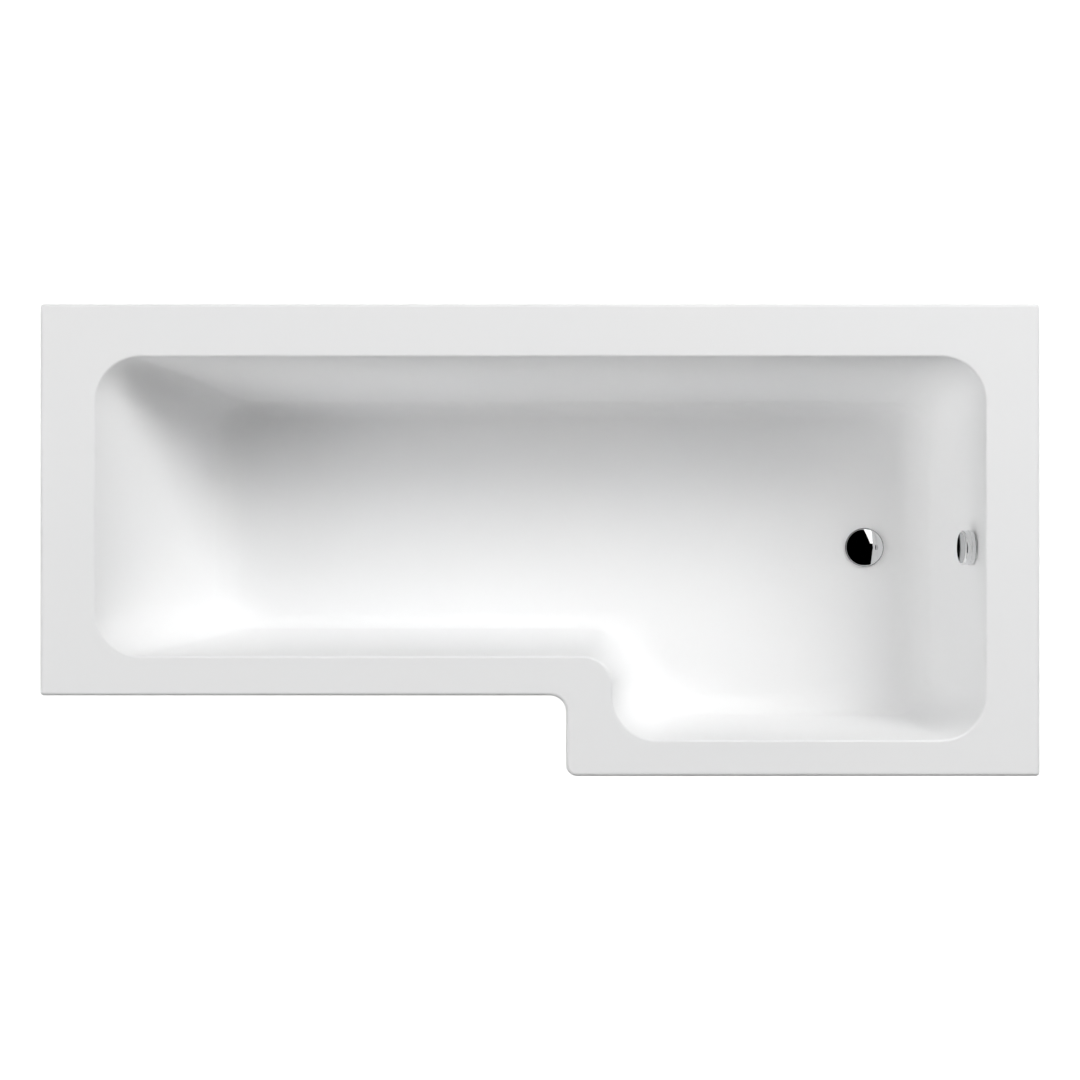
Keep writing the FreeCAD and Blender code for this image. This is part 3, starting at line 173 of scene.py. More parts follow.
class Shader(NodeTree):
    """A material in the making: its nodes and its main shader."""

    def __init__(self, name: str) -> None:
        """Starts a material, with Object coordinates at hand.

        Args:
            name: The material's name.
        """
        self.material = bpy.data.materials.new(name)
        self.material.use_nodes = True
        super().__init__(self.material.node_tree)
        self.main = self.tree.nodes["Principled BSDF"]
        self.place = self.node("ShaderNodeTexCoord", {}, "Object")

    def set(self, **values: object) -> None:
        """Sets sockets of the main shader, given with underscores for spaces."""
        for name, value in values.items():
            self.main.inputs[name.replace("_", " ")].default_value = value

    def feed(self, name: str, source: Socket) -> None:
        """Links a socket of the main shader to a source."""
        self.tree.links.new(source, self.main.inputs[name])

    def drawn_out(self, lengths: Sequence[float], turn: Sequence[float] = (0, 0, 0)) -> Socket:
        """Object coordinates for a pattern that is drawn out by these lengths on its turned axes."""
        return self.node("ShaderNodeMapping", {"Vector": self.place, "Scale": lengths, "Rotation": turn},
                         vector_type="TEXTURE")

    def noise(self, scale: float, detail: float = 2.0, vector: Socket | None = None) -> Socket:
        """Soft noise from 0 to 1, of a scale in cycles per metre."""
        return self.node("ShaderNodeTexNoise", {
            "Vector": vector or self.place, "Scale": scale, "Detail": detail})

    def cells(self, scale: float, vector: Socket) -> Socket:
        """Cell noise, such as flakes or spangle."""
        return self.node("ShaderNodeTexVoronoi", {"Vector": vector, "Scale": scale}, "Color")

    def ramp(self, value: Socket, low: float, high: float, dark: Spot, light: Spot) -> Socket:
        """A colour between two.

        Args:
            value: What the colour follows.
            low: The value at the first colour.
            high: The value at the second colour.
            dark: The first colour.
            light: The second colour.

        Returns:
            The colour.
        """
        made = self.node("ShaderNodeValToRGB", {0: value})
        for stop, at, colour in zip(made.node.color_ramp.elements, (low, high), (dark, light)):
            stop.position = at
            stop.color = (*colour, 1.0)
        return made

    def span(self, value: Socket, low: float, high: float) -> Socket:
        """A value from 0 to 1 spread between low and high."""
        return self.node("ShaderNodeMapRange", {"Value": value, "To Min": low, "To Max": high})

    def mix(self, share: Socket | float, first: Socket, second: Socket | tuple) -> Socket:
        """A blend of two colours, which are inputs 6 and 7 of the node, and output 2."""
        return self.node("ShaderNodeMix", {0: share, 6: first, 7: second}, 2, data_type="RGBA")

    def bump(self, height: Socket, depth: float) -> None:
        """Raises the surface by a height pattern of a depth in metres."""
        self.feed("Normal", self.node("ShaderNodeBump", {"Height": height, "Distance": depth}))


@dataclass(frozen=True)
class Finish:
    """A finish of the object and the record's slot that it belongs to."""

    name: str
    slot: str

    def paint(self, shader: Shader) -> None:
        """Dresses the shader."""

    def material(self) -> bpy.types.Material:
        """Makes the material once.

        Returns:
            The finish as a material.
        """
        made = bpy.data.materials.get(self.name)
        if made is None:
            shader = Shader(self.name)
            self.paint(shader)
            made = shader.material
        return made


@dataclass(frozen=True)
class GlossAcrylic(Finish):
    """White acrylic sheet, drawn over a mould: high gloss with the faintest ripple."""

    white: float = 0.97
    tint: Spot = (0.992, 0.996, 1.0)
    cloud: float = 3.0
    haze: float = 14.0
    ripple: float = 55.0
    depth: float = 0.00004

    def paint(self, shader: Shader) -> None:
        """White under a clear gloss.

        Args:
            shader: The shader to dress.
        """
        cool = tuple(self.white * share for share in self.tint)
        shader.feed("Base Color", shader.ramp(shader.noise(self.cloud), 0.3, 0.7, cool, (self.white,) * 3))
        shader.feed("Roughness", shader.span(shader.noise(self.haze, 4.0), 0.4, 0.5))
        shader.set(IOR=1.49, Specular_IOR_Level=0.12)
        shader.bump(shader.noise(self.ripple), self.depth)


@dataclass(frozen=True)
class SprayedFibre(Finish):
    """Sprayed glass fibre: chopped strands lying every way in clear resin."""

    strand: float = 240.0
    drawn: float = 13.0
    lays: tuple[Pair, ...] = (
        (0, 0.4), (0, 1.7), (1.4, 0.9), (0.7, 0.2), (0.7, 1.9), (-0.7, 1.2), (-0.7, 2.8))
    cloud: float = 7.0
    lumps: float = 60.0
    depth: float = 0.0011

    def paint(self, shader: Shader) -> None:
        """Strands that cross in many directions, pale on the resin's buff.

        Args:
            shader: The shader to dress.
        """
        strands = None
        for tilt, turn in self.lays:
            lain = shader.noise(self.strand, 1.0, shader.drawn_out((1, self.drawn, 1), (tilt, 0, turn)))
            strands = lain if strands is None else shader.math("MAXIMUM", strands, lain)
        resin = shader.ramp(shader.noise(self.cloud, 4.0), 0.35, 0.65, (0.55, 0.53, 0.46), (0.68, 0.665, 0.6))
        fibre = shader.ramp(strands, 0.62, 0.78, (0, 0, 0), (1, 1, 1))
        shader.feed("Base Color", shader.mix(fibre, resin, (0.8, 0.79, 0.74, 1.0)))
        shader.feed("Roughness", shader.span(strands, 0.75, 0.3))
        shader.bump(shader.math("ADD", strands, shader.noise(self.lumps, 3.0)), self.depth)


@dataclass(frozen=True)
class PressedFlakes(Finish):
    """Raw chipboard: pressed flakes of several browns."""

    flake: float = 240.0
    chip: float = 520.0
    depth: float = 0.0005

    def paint(self, shader: Shader) -> None:
        """Two sizes of flake, blended.

        Args:
            shader: The shader to dress.
        """
        flakes = shader.cells(self.flake, shader.drawn_out((1.0, 1.8, 1.0), (0, 0, 0.6)))
        chips = shader.cells(self.chip, shader.drawn_out((1.7, 1.0, 1.0), (0, 0, 0.2)))
        large = shader.ramp(flakes, 0.1, 0.9, (0.30, 0.19, 0.10), (0.62, 0.46, 0.28))
        small = shader.ramp(chips, 0.2, 0.9, (0.36, 0.24, 0.13), (0.68, 0.52, 0.33))
        shader.feed("Base Color", shader.mix(0.45, large, small))
        shader.set(Roughness=0.82)
        shader.bump(shader.math("ADD", flakes, chips), self.depth)


@dataclass(frozen=True)
class PlanedSoftwood(Finish):
    """Planed pine with its grain along one axis."""

    along_x: bool = True
    drawn: float = 0.63
    narrow: float = 0.03
    pore: float = 9.0
    depth: float = 0.00025

    def paint(self, shader: Shader) -> None:
        """Growth rings drawn out along the strip.

        Args:
            shader: The shader to dress.
        """
        long, thin = self.drawn, self.narrow
        lain = shader.drawn_out((long, thin, thin) if self.along_x else (thin, long, thin))
        rings = shader.node("ShaderNodeTexWave", {
            "Vector": lain, "Scale": 0.55, "Distortion": 5.5, "Detail": 3.0, "Detail Scale": 0.8,
        }, "Fac", wave_type="RINGS", rings_direction="X" if self.along_x else "Y")
        pores = shader.noise(self.pore, 4.0, lain)
        grain = shader.ramp(rings, 0.15, 0.95, (0.62, 0.42, 0.22), (0.44, 0.25, 0.10))
        fleck = shader.ramp(pores, 0.35, 0.7, (0.66, 0.47, 0.27), (0.53, 0.34, 0.17))
        shader.feed("Base Color", shader.mix(0.45, grain, fleck))
        shader.feed("Roughness", shader.span(pores, 0.55, 0.75))
        shader.bump(shader.math("ADD", rings, pores), self.depth)


@dataclass(frozen=True)
class Galvanised(Finish):
    """Galvanised sheet steel with its spangle."""

    spangle: float = 170.0
    grain: float = 420.0
    depth: float = 0.00006

    def paint(self, shader: Shader) -> None:
        """Cells of slightly different brightness and gloss.

        Args:
            shader: The shader to dress.
        """
        cells = shader.cells(self.spangle, shader.drawn_out((1.0, 1.4, 1.0), (0, 0, 0.4)))
        shader.feed("Base Color", shader.ramp(cells, 0.1, 0.9, (0.42, 0.44, 0.46), (0.66, 0.68, 0.70)))
        shader.feed("Roughness", shader.span(cells, 0.28, 0.48))
        shader.set(Metallic=1.0)
        shader.bump(shader.noise(self.grain, 3.0), self.depth)


@dataclass(frozen=True)
class BrightZinc(Finish):
    """Bright zinc plate on small steel parts."""

    cast: float = 130.0
    haze: float = 600.0
    grain: float = 900.0
    depth: float = 0.00003

    def paint(self, shader: Shader) -> None:
        """A cool plate with a faint yellow cast in places.

        Args:
            shader: The shader to dress.
        """
        shader.feed("Base Color", shader.ramp(
            shader.noise(self.cast, 3.0), 0.3, 0.72, (0.58, 0.57, 0.51), (0.74, 0.76, 0.79)))
        shader.feed("Roughness", shader.span(shader.noise(self.haze), 0.2, 0.38))
        shader.set(Metallic=1.0)
        shader.bump(shader.noise(self.grain), self.depth)


@dataclass(frozen=True)
class Chrome(Finish):
    """Polished chrome plate."""

    haze: float = 70.0

    def paint(self, shader: Shader) -> None:
        """A near mirror, hazed very slightly where water has dried."""
        shader.set(Base_Color=(0.78, 0.785, 0.79, 1.0), Metallic=1.0)
        shader.feed("Roughness", shader.span(shader.noise(self.haze, 4.0), 0.02, 0.055))


@dataclass(frozen=True)
class MouldedPlastic(Finish):
    """Moulded plastic with a fine spark grain."""

    colour: Spot = (0.8, 0.8, 0.79)
    gloss: float = 0.4
    grain: float = 1400.0
    flow: float = 24.0
    haze: float = 90.0
    depth: float = 0.00005

    def paint(self, shader: Shader) -> None:
        """A plain colour with faint flow marks and grain.

        Args:
            shader: The shader to dress.
        """
        dark = tuple(c * 0.94 for c in self.colour)
        shader.feed("Base Color", shader.ramp(shader.noise(self.flow, 4.0), 0.3, 0.7, dark, self.colour))
        shader.feed("Roughness", shader.span(shader.noise(self.haze, 3.0), self.gloss, self.gloss + 0.14))
        shader.bump(shader.noise(self.grain), self.depth)


@dataclass(frozen=True)
class SoftRubber(Finish):
    """Black moulded rubber with a dusty bloom."""

    bloom: float = 45.0
    grain: float = 1100.0
    depth: float = 0.00006

    def paint(self, shader: Shader) -> None:
        """Near black, paler where the bloom lies.

        Args:
            shader: The shader to dress.
        """
        dust = shader.noise(self.bloom, 4.0)
        shader.feed("Base Color", shader.ramp(dust, 0.4, 0.75, (0.018, 0.018, 0.019), (0.05, 0.05, 0.05)))
        shader.feed("Roughness", shader.span(dust, 0.55, 0.75))
        shader.bump(shader.noise(self.grain), self.depth)


ACRYLIC = GlossAcrylic("gloss_acrylic", "white_acrylic")
FIBRE = SprayedFibre("sprayed_glass_fibre", "glass_fibre")
BOARD = PressedFlakes("raw_chipboard", "chipboard")
PINE_LONG = PlanedSoftwood("planed_pine_long", "softwood")
PINE_CROSS = PlanedSoftwood("planed_pine_cross", "softwood", along_x=False)
STEEL = Galvanised("galvanised_sheet", "galvanised_steel")
ZINC = BrightZinc("bright_zinc", "zinc_steel")
CHROME = Chrome("polished_chrome", "chrome")
WHITE_PLASTIC = MouldedPlastic("white_moulding", "white_plastic")
BLACK_PLASTIC = MouldedPlastic("black_moulding", "black_plastic", (0.022, 0.022, 0.024), 0.42, 900.0)
HOSE_PLASTIC = MouldedPlastic("hose_plastic", "grey_hose", (0.62, 0.62, 0.61), 0.33, 700.0)
SHEATH = MouldedPlastic("cable_sheath", "cable_sheath", (0.03, 0.03, 0.032), 0.35, 1200.0)
RUBBER = SoftRubber("soft_rubber", "rubber_seal")


# Making meshes

def smooth(mesh: Mesh) -> None:
    """Shades a mesh smooth, with its sharp edges kept."""
    mesh.shade_smooth()
    mesh.set_sharp_from_angle(angle=SMOOTH_ANGLE)


def mesh_object(name: str, mesh: Mesh, finish: Finish | None = None) -> Object:
    """Puts a mesh into the scene.

    Args:
        name: The object's name.
        mesh: Its mesh.
        finish: Its finish, if it gets one.

    Returns:
        The object.
    """
    made = bpy.data.objects.new(name, mesh)
    bpy.context.scene.collection.objects.link(made)
    if finish is not None:
        mesh.materials.clear()
        mesh.materials.append(finish.material())
    return made


def to_object(name: str, work: bmesh.types.BMesh, finish: Finish | None = None, new: bool = True) -> Object:
    """Turns a bmesh into an object, smooth between its sharp edges.

    Args:
        name: The object's name.
        work: The bmesh, which is freed.
        finish: The object's finish, if it gets one.
        new: Whether its faces still have to be joined and turned out.

    Returns:
        The object.
    """
    if new:
        bmesh.ops.remove_doubles(work, verts=work.verts, dist=MESH_MERGE)
        bmesh.ops.recalc_face_normals(work, faces=work.faces)
    mesh = bpy.data.meshes.new(name)
    work.to_mesh(mesh)
    work.free()
    smooth(mesh)
    return mesh_object(name, mesh, finish)


def evaluated(piece: Object) -> Mesh:
    """A new mesh of what an object shows, with its modifiers."""
    depsgraph = bpy.context.evaluated_depsgraph_get()
    return bpy.data.meshes.new_from_object(piece.evaluated_get(depsgraph), depsgraph=depsgraph)


def settle(piece: Object) -> Object:
    """Bakes a piece's modifiers into its own mesh.

    Args:
        piece: The piece.

    Returns:
        The same piece.
    """
    baked = evaluated(piece)
    old = piece.data
    piece.modifiers.clear()
    piece.data = baked
    bpy.data.meshes.remove(old)
    baked.name = piece.name
    return piece


def even(piece: Object) -> Object:
    """Weights a piece's normals by the size of its faces, so that flats beside a small round stay flat."""
    piece.modifiers.new("normals", "WEIGHTED_NORMAL").keep_sharp = True
    return settle(piece)


def polygon(radius: float, sides: int) -> list[Pair]:
    """The corners of a regular outline about the origin."""
    turns = (FULL_TURN * side / sides for side in range(sides))
    return [(radius * math.cos(turn), radius * math.sin(turn)) for turn in turns]


def soften(corners: Sequence[Spot], closed: bool, fewest: int = 5, longest: float = 0.49) -> list[Pair]:
    """Rounds the corners of an outline.

    Args:
        corners: Points with the radius that rounds each.
        closed: Whether the last point joins the first.
        fewest: Segments in a small round corner; a large one has more.
        longest: The share of a run that one corner may take.

    Returns:
        The points of the rounded outline.
    """
    points = []
    count = len(corners)
    for i, (x, y, radius) in enumerate(corners):
        here = Vector((x, y))
        ends = not closed and i in (0, count - 1)
        if radius <= 0 or ends:
            points.append((x, y))
            continue
        before = Vector(corners[i - 1][:2]) - here
        after = Vector(corners[(i + 1) % count][:2]) - here
        half = before.angle(after) / 2
        reach = min(radius / math.tan(half), longest * before.length, longest * after.length)
        inside = (before.normalized() + after.normalized()).normalized()
        centre = here + inside * (reach / math.cos(half))
        first = here + before.normalized() * reach - centre
        last = here + after.normalized() * reach - centre
        turn = first.angle_signed(last)
        steps = max(fewest, round(radius / FINE_STEP))
        for step in range(steps + 1):
            swung = first.copy()
            swung.rotate(Matrix.Rotation(-turn * step / steps, 2))
            points.append(tuple(centre + swung))
    return points


def lathe(name: str, corners: Sequence[Spot], finish: Finish, frame: Matrix = IDENTITY, ring: bool = False,
          sides: int = 72) -> Object:
    """Turns a piece about the Z axis of a frame.

    Args:
        name: The piece's name.
        corners: Its outline as radius, height and the rounding of each corner.
        finish: The piece's finish.
        frame: The frame that the outline is in.
        ring: Whether the outline closes on itself, clear of the axis.
        sides: Segments around the axis.

    Returns:
        The piece.
    """
    work = bmesh.new()
    rows = []
    for radius, height in soften(corners, ring):
        row = [(0, 0)] if radius < ON_AXIS else polygon(radius, sides)
        rows.append([work.verts.new(frame @ Vector((x, y, height))) for x, y in row])
    for low, high in zip(rows, rows[1:] + rows[:1] if ring else rows[1:]):
        for side in range(sides):
            after = (side + 1) % sides
            loop = (low[side % len(low)], low[after % len(low)],
                    high[after % len(high)], high[side % len(high)])
            face = list(dict.fromkeys(loop))
            if len(face) > 2:
                work.faces.new(face)
    return even(to_object(name, work, finish))


def skin(name: str, rings: Sequence[Ring], finish: Finish | None = None) -> Object:
    """A closed sheet through rings of points.

    Args:
        name: The piece's name.
        rings: The rings, as many points on each; the first and the last are capped.
        finish: The piece's finish, if it gets one.

    Returns:
        The piece.
    """
    work = bmesh.new()
    rows = [[work.verts.new(point) for point in ring] for ring in rings]
    count = len(rows[0])
    for low, high in zip(rows, rows[1:]):
        for i in range(count):
            after = (i + 1) % count
            work.faces.new((low[i], low[after], high[after], high[i]))
    work.faces.new(rows[0])
    work.faces.new(rows[-1])
    return to_object(name, work, finish)


def prism(name: str, outline: Sequence[Pair], low: float, high: float, frame: Matrix = IDENTITY) -> Object:
    """An upright prism on an outline, between two heights of a frame."""
    return skin(name, [[frame @ Vector((x, y, height)) for x, y in outline] for height in (low, high)])


def carved(piece: Object, cutters: Sequence[Object], operation: str = "DIFFERENCE") -> Object:
    """Cuts a piece with solids, which are removed.

    Args:
        piece: The piece.
        cutters: The solids.
        operation: DIFFERENCE to cut them out, INTERSECT to keep what lies in them.

    Returns:
        The same piece.
    """
    for cutter in cutters:
        cut = piece.modifiers.new("cut", "BOOLEAN")
        cut.operation = operation
        cut.solver = "EXACT"
        cut.object = cutter
    settle(piece)
    for cutter in cutters:
        bpy.data.objects.remove(cutter)
    smooth(piece.data)
    return piece


def dressed(piece: Object, body: str, finish: Finish, *nodes: str) -> None:
    """Puts a finished piece on its body and in the place of its nodes.

    Args:
        piece: The piece.
        body: The body that it rides on.
        finish: Its finish; not used.
        nodes: The nodes of the frame that it stands for.
    """
    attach(piece, body)
    if nodes:
        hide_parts(*nodes)
    LOG.info("%s rides on %s, %d faces", piece.name, body, len(piece.data.polygons))


@dataclass(frozen=True)
class Copy:
    """A piece that keeps the shape of its node, with the sharp edges broken by a width."""

    node: str
    name: str
    finish: Finish
    edge: float
    body: Body = Body.TUB

    def build(self, nodes: dict[str, Object]) -> None:
        """Makes the piece from its node's mesh: merged, smoothed and with its edges broken.

        Args:
            nodes: The nodes of the frame.
        """
        work = bmesh.new()
        work.from_mesh(nodes[self.node].data)
        bmesh.ops.remove_doubles(work, verts=work.verts, dist=NODE_MERGE)
        bmesh.ops.dissolve_limit(work, angle_limit=FLAT_ANGLE, verts=work.verts, edges=work.edges)
        piece = to_object(self.name, work, self.finish, new=False)
        bevel = piece.modifiers.new("edges", "BEVEL")
        bevel.width = self.edge
        bevel.segments = 2
        bevel.limit_method = "ANGLE"
        bevel.angle_limit = BEVEL_ANGLE
        smooth(settle(piece).data)
        dressed(even(piece), self.body.value, self.finish, self.node)


# Shapes that repeat or follow a path, as node trees

class ShapeTree(NodeTree):
    """A geometry node tree with named inputs, which ends in Realize Instances and Set Material."""

    def __init__(self, name: str) -> None:
        """Starts a tree with a geometry input and output.

        Args:
            name: The tree's name.
        """
        super().__init__(bpy.data.node_groups.new(name, "GeometryNodeTree"))
        for way in ("OUTPUT", "INPUT"):
            self.tree.interface.new_socket("Geometry", in_out=way, socket_type="NodeSocketGeometry")
        self.given = self.tree.nodes.new("NodeGroupInput")
        self.seed = self.given.outputs["Geometry"]
        self.identifiers: dict[str, str] = {}

    def ask(self, kind: str, *names: str) -> list[Number]:
        """Adds named inputs.

        Args:
            kind: Their kind, such as Float, Int, Vector, Object or Material.
            names: Their names.

        Returns:
            What they give, of which Float and Int serve for sums.
        """
        for name in names:
            made = self.tree.interface.new_socket(name, in_out="INPUT", socket_type=f"NodeSocket{kind}")
            self.identifiers[name] = made.identifier
        return [Number(self, self.given.outputs[name]) for name in names]

    def shape(self) -> Socket:
        """Asks for the object whose shape is repeated."""
        return self.node("GeometryNodeObjectInfo", {"Object": self.ask("Object", "Shape")[0]}, "Geometry")

    def finish(self, shape: Socket) -> None:
        """Ends the tree: real geometry, merged, with the material that is asked for.

        Args:
            shape: The geometry to end with.
        """
        real = self.node("GeometryNodeRealizeInstances", {"Geometry": shape})
        merged = self.node("GeometryNodeMergeByDistance", {"Geometry": real, "Distance": 1e-6})
        material = self.ask("Material", "Material")[0]
        last = self.node("GeometryNodeSetMaterial", {"Geometry": merged, "Material": material})
        out = self.tree.nodes.new("NodeGroupOutput")
        self.tree.links.new(last, out.inputs[0])

    def grow(self, name: str, finish: Finish, seed: Mesh | None = None, **values: object) -> Object:
        """Makes a piece with the tree.

        Args:
            name: The piece's name.
            finish: The piece's finish.
            seed: A mesh that the tree starts from, such as points or a path.
            values: Values for the tree's inputs, by name.

        Returns:
            The piece, as a plain mesh.
        """
        piece = mesh_object(name, seed or bpy.data.meshes.new(f"{name}_seed"))
        modifier = piece.modifiers.new("grow", "NODES")
        modifier.node_group = self.tree
        for key, value in {**values, "Material": finish.material()}.items():
            modifier[self.identifiers[key]] = value
        piece.update_tag()
        bpy.context.view_layer.update()
        settle(piece)
        smooth(piece.data)
        return piece


def thread_tree(taper: float = 1.3) -> ShapeTree:
    """A threaded rod along Z, closed at both ends: the radius dips once a pitch along a helix.

    Args:
        taper: How far the ends are pointed, in depths of the thread.

    Returns:
        The tree.
    """
    tree = ShapeTree("threaded_rod")
    radius, depth, pitch, length = tree.ask("Float", "Radius", "Depth", "Pitch", "Length")
    sides, rows = tree.ask("Int", "Sides", "Rows")
    place = tree.ask("Vector", "Place")[0]
    grid = tree.node("GeometryNodeMeshGrid", {
        "Size X": 1.0, "Size Y": 1.0, "Vertices X": sides + 1.0, "Vertices Y": rows})
    spot = tree.node("GeometryNodeInputPosition", {})
    across, along = (tree.number("ShaderNodeSeparateXYZ", {0: spot}, axis) for axis in "XY")
    turn = across + 0.5
    row = (along + 0.5) * (rows - 1.0)
    share = (row - 1.0) / (rows - 3.0)
    height = tree.number("ShaderNodeClamp", {"Value": share}) * length
    phase = (height / pitch - turn).to("FRACT")
    wave = (phase * 2.0 - 1.0).to("ABSOLUTE")
    point = radius - depth * taper + height.to("MINIMUM", length - height)
    cut = (radius - wave * depth).to("MINIMUM", point)
    reach = cut * ((row > 0.5) * (row < rows - 1.5))
    angle = turn * FULL_TURN
    moved = tree.node("ShaderNodeCombineXYZ", {
        "X": reach * angle.to("COSINE"), "Y": reach * angle.to("SINE"), "Z": height})
    rod = tree.node("GeometryNodeSetPosition", {"Geometry": grid, "Position": moved})
    tree.finish(tree.node("GeometryNodeTransform", {"Geometry": rod, "Translation": place}))
    return tree


def points_tree() -> ShapeTree:
    """One shape set on every point of the seed mesh.

    Returns:
        The tree.
    """
    tree = ShapeTree("set_on_points")
    tree.finish(tree.node("GeometryNodeInstanceOnPoints", {"Points": tree.seed, "Instance": tree.shape()}))
    return tree


def around_tree() -> ShapeTree:
    """One shape repeated around an axis, then turned and moved to its place.

    Returns:
        The tree.
    """
    tree = ShapeTree("repeat_around")
    shape = tree.shape()
    count, radius = tree.ask("Int", "Count") + tree.ask("Float", "Radius")
    place, turn = tree.ask("Vector", "Place", "Turn")
    spots = tree.node("GeometryNodeMeshCircle", {"Vertices": count, "Radius": radius})
    share = tree.number("GeometryNodeInputIndex", {}) / count
    turned = tree.node("ShaderNodeCombineXYZ", {"Z": share * FULL_TURN})
    ribs = tree.node("GeometryNodeInstanceOnPoints", {"Points": spots, "Instance": shape, "Rotation": turned})
    tree.finish(tree.node("GeometryNodeTransform", {
        "Geometry": ribs, "Translation": place, "Rotation": turn}))
    return tree


def tube_tree(sides: int = 16) -> ShapeTree:
    """A plain tube along the seed path, closed at both ends.

    Args:
        sides: Segments around the tube.

    Returns:
        The tree.
    """
    tree = ShapeTree("plain_tube")
    path = tree.node("GeometryNodeMeshToCurve", {"Mesh": tree.seed})
    circle = tree.node("GeometryNodeCurvePrimitiveCircle", {
        "Resolution": sides, "Radius": tree.ask("Float", "Radius")[0]}, "Curve")
    tree.finish(tree.node("GeometryNodeCurveToMesh", {
        "Curve": path, "Profile Curve": circle, "Fill Caps": True}))
    return tree


def hose_tree(sides: int = 40, crown: float = 1.1) -> ShapeTree:
    """A hollow ribbed hose along the seed path, with plain cuffs at both ends.

    Args:
        sides: Segments around the hose.
        crown: How much the ribs' wave is cut flat.

    Returns:
        The tree.
    """
    tree = ShapeTree("ribbed_hose")
    crest, root, bore, pitch, cuff, step = tree.ask("Float", "Crest", "Root", "Bore", "Pitch", "Cuff", "Step")
    path = tree.node("GeometryNodeMeshToCurve", {"Mesh": tree.seed})
    path = tree.node("GeometryNodeResampleCurve", {"Curve": path, "Length": step}, mode="LENGTH")
    at = tree.number("GeometryNodeSplineParameter", {}, "Length")
    length = tree.number("GeometryNodeSplineLength", {}, "Length")
    to_end = at.to("MINIMUM", length - at)
    wave = (at / pitch * FULL_TURN).to("COSINE")
    flat = tree.number("ShaderNodeClamp", {"Value": wave * crown + 0.5})
    ribbed = root + flat * (crest - root)
    plain = ribbed + (to_end < cuff) * (crest - ribbed)
    outer = plain + (to_end < step * 0.5) * (bore - plain)
    circle = tree.node("GeometryNodeCurvePrimitiveCircle", {"Resolution": sides, "Radius": 1.0}, "Curve")
    outside, inside = (tree.node("GeometryNodeCurveToMesh", {
        "Curve": path, "Profile Curve": circle, "Scale": radius}) for radius in (outer, bore))
    join = tree.node("GeometryNodeJoinGeometry", {0: tree.node("GeometryNodeFlipFaces", {"Mesh": inside})})
    tree.tree.links.new(outside, join.node.inputs[0])
    tree.finish(join)
    return tree


def nurbs_path(name: str, points: Sequence[Vector], resolution: int = 24) -> Mesh:
    """The smooth line of a route: a NURBS spline with the route's points as its control points.

    Args:
        name: Name of the curve.
        points: The route's points.
        resolution: Steps for each point of the route.

    Returns:
        The line as a mesh of edges.
    """
    curve = bpy.data.curves.new(name, "CURVE")
    curve.dimensions = "3D"
    spline = curve.splines.new("NURBS")
    spline.points.add(len(points) - 1)
    for spot, point in zip(spline.points, points):
        spot.co = (*point, 1.0)
    spline.order_u = 3
    spline.use_endpoint_u = True
    spline.resolution_u = resolution
    holder = bpy.data.objects.new(name, curve)
    bpy.context.scene.collection.objects.link(holder)
    bpy.context.view_layer.update()
    line = evaluated(holder)
    bpy.data.objects.remove(holder)
    bpy.data.curves.remove(curve)
    return line


# The tub

@dataclass(frozen=True)
class Wall:
    """One wall of the basin: its opening edge, its rim's outer edge, its lean and its sweep."""

    opening: float
    outer: float
    inward: int
    lean: float
    sweep: float


WALLS = {
    Side.HEAD: Wall(-0.801, -0.900, 1, 0.208, 0.068),
    Side.FRONT: Wall(-0.209, -0.280, 1, 0.045, 0.034),
    Side.STEP: Wall(0.130, 0.047, 1, 0.062, 0.055),
    Side.SHOWER: Wall(-0.360, -0.425, 1, 0.034, 0.044),
    Side.WASTE: Wall(0.802, 0.900, -1, 0.078, 0.066),
    Side.BACK: Wall(0.330, 0.425, -1, 0.074, 0.036),
}
ROUND = list(Side)
UPRIGHT_SIDES = (Side.HEAD, Side.STEP, Side.WASTE)


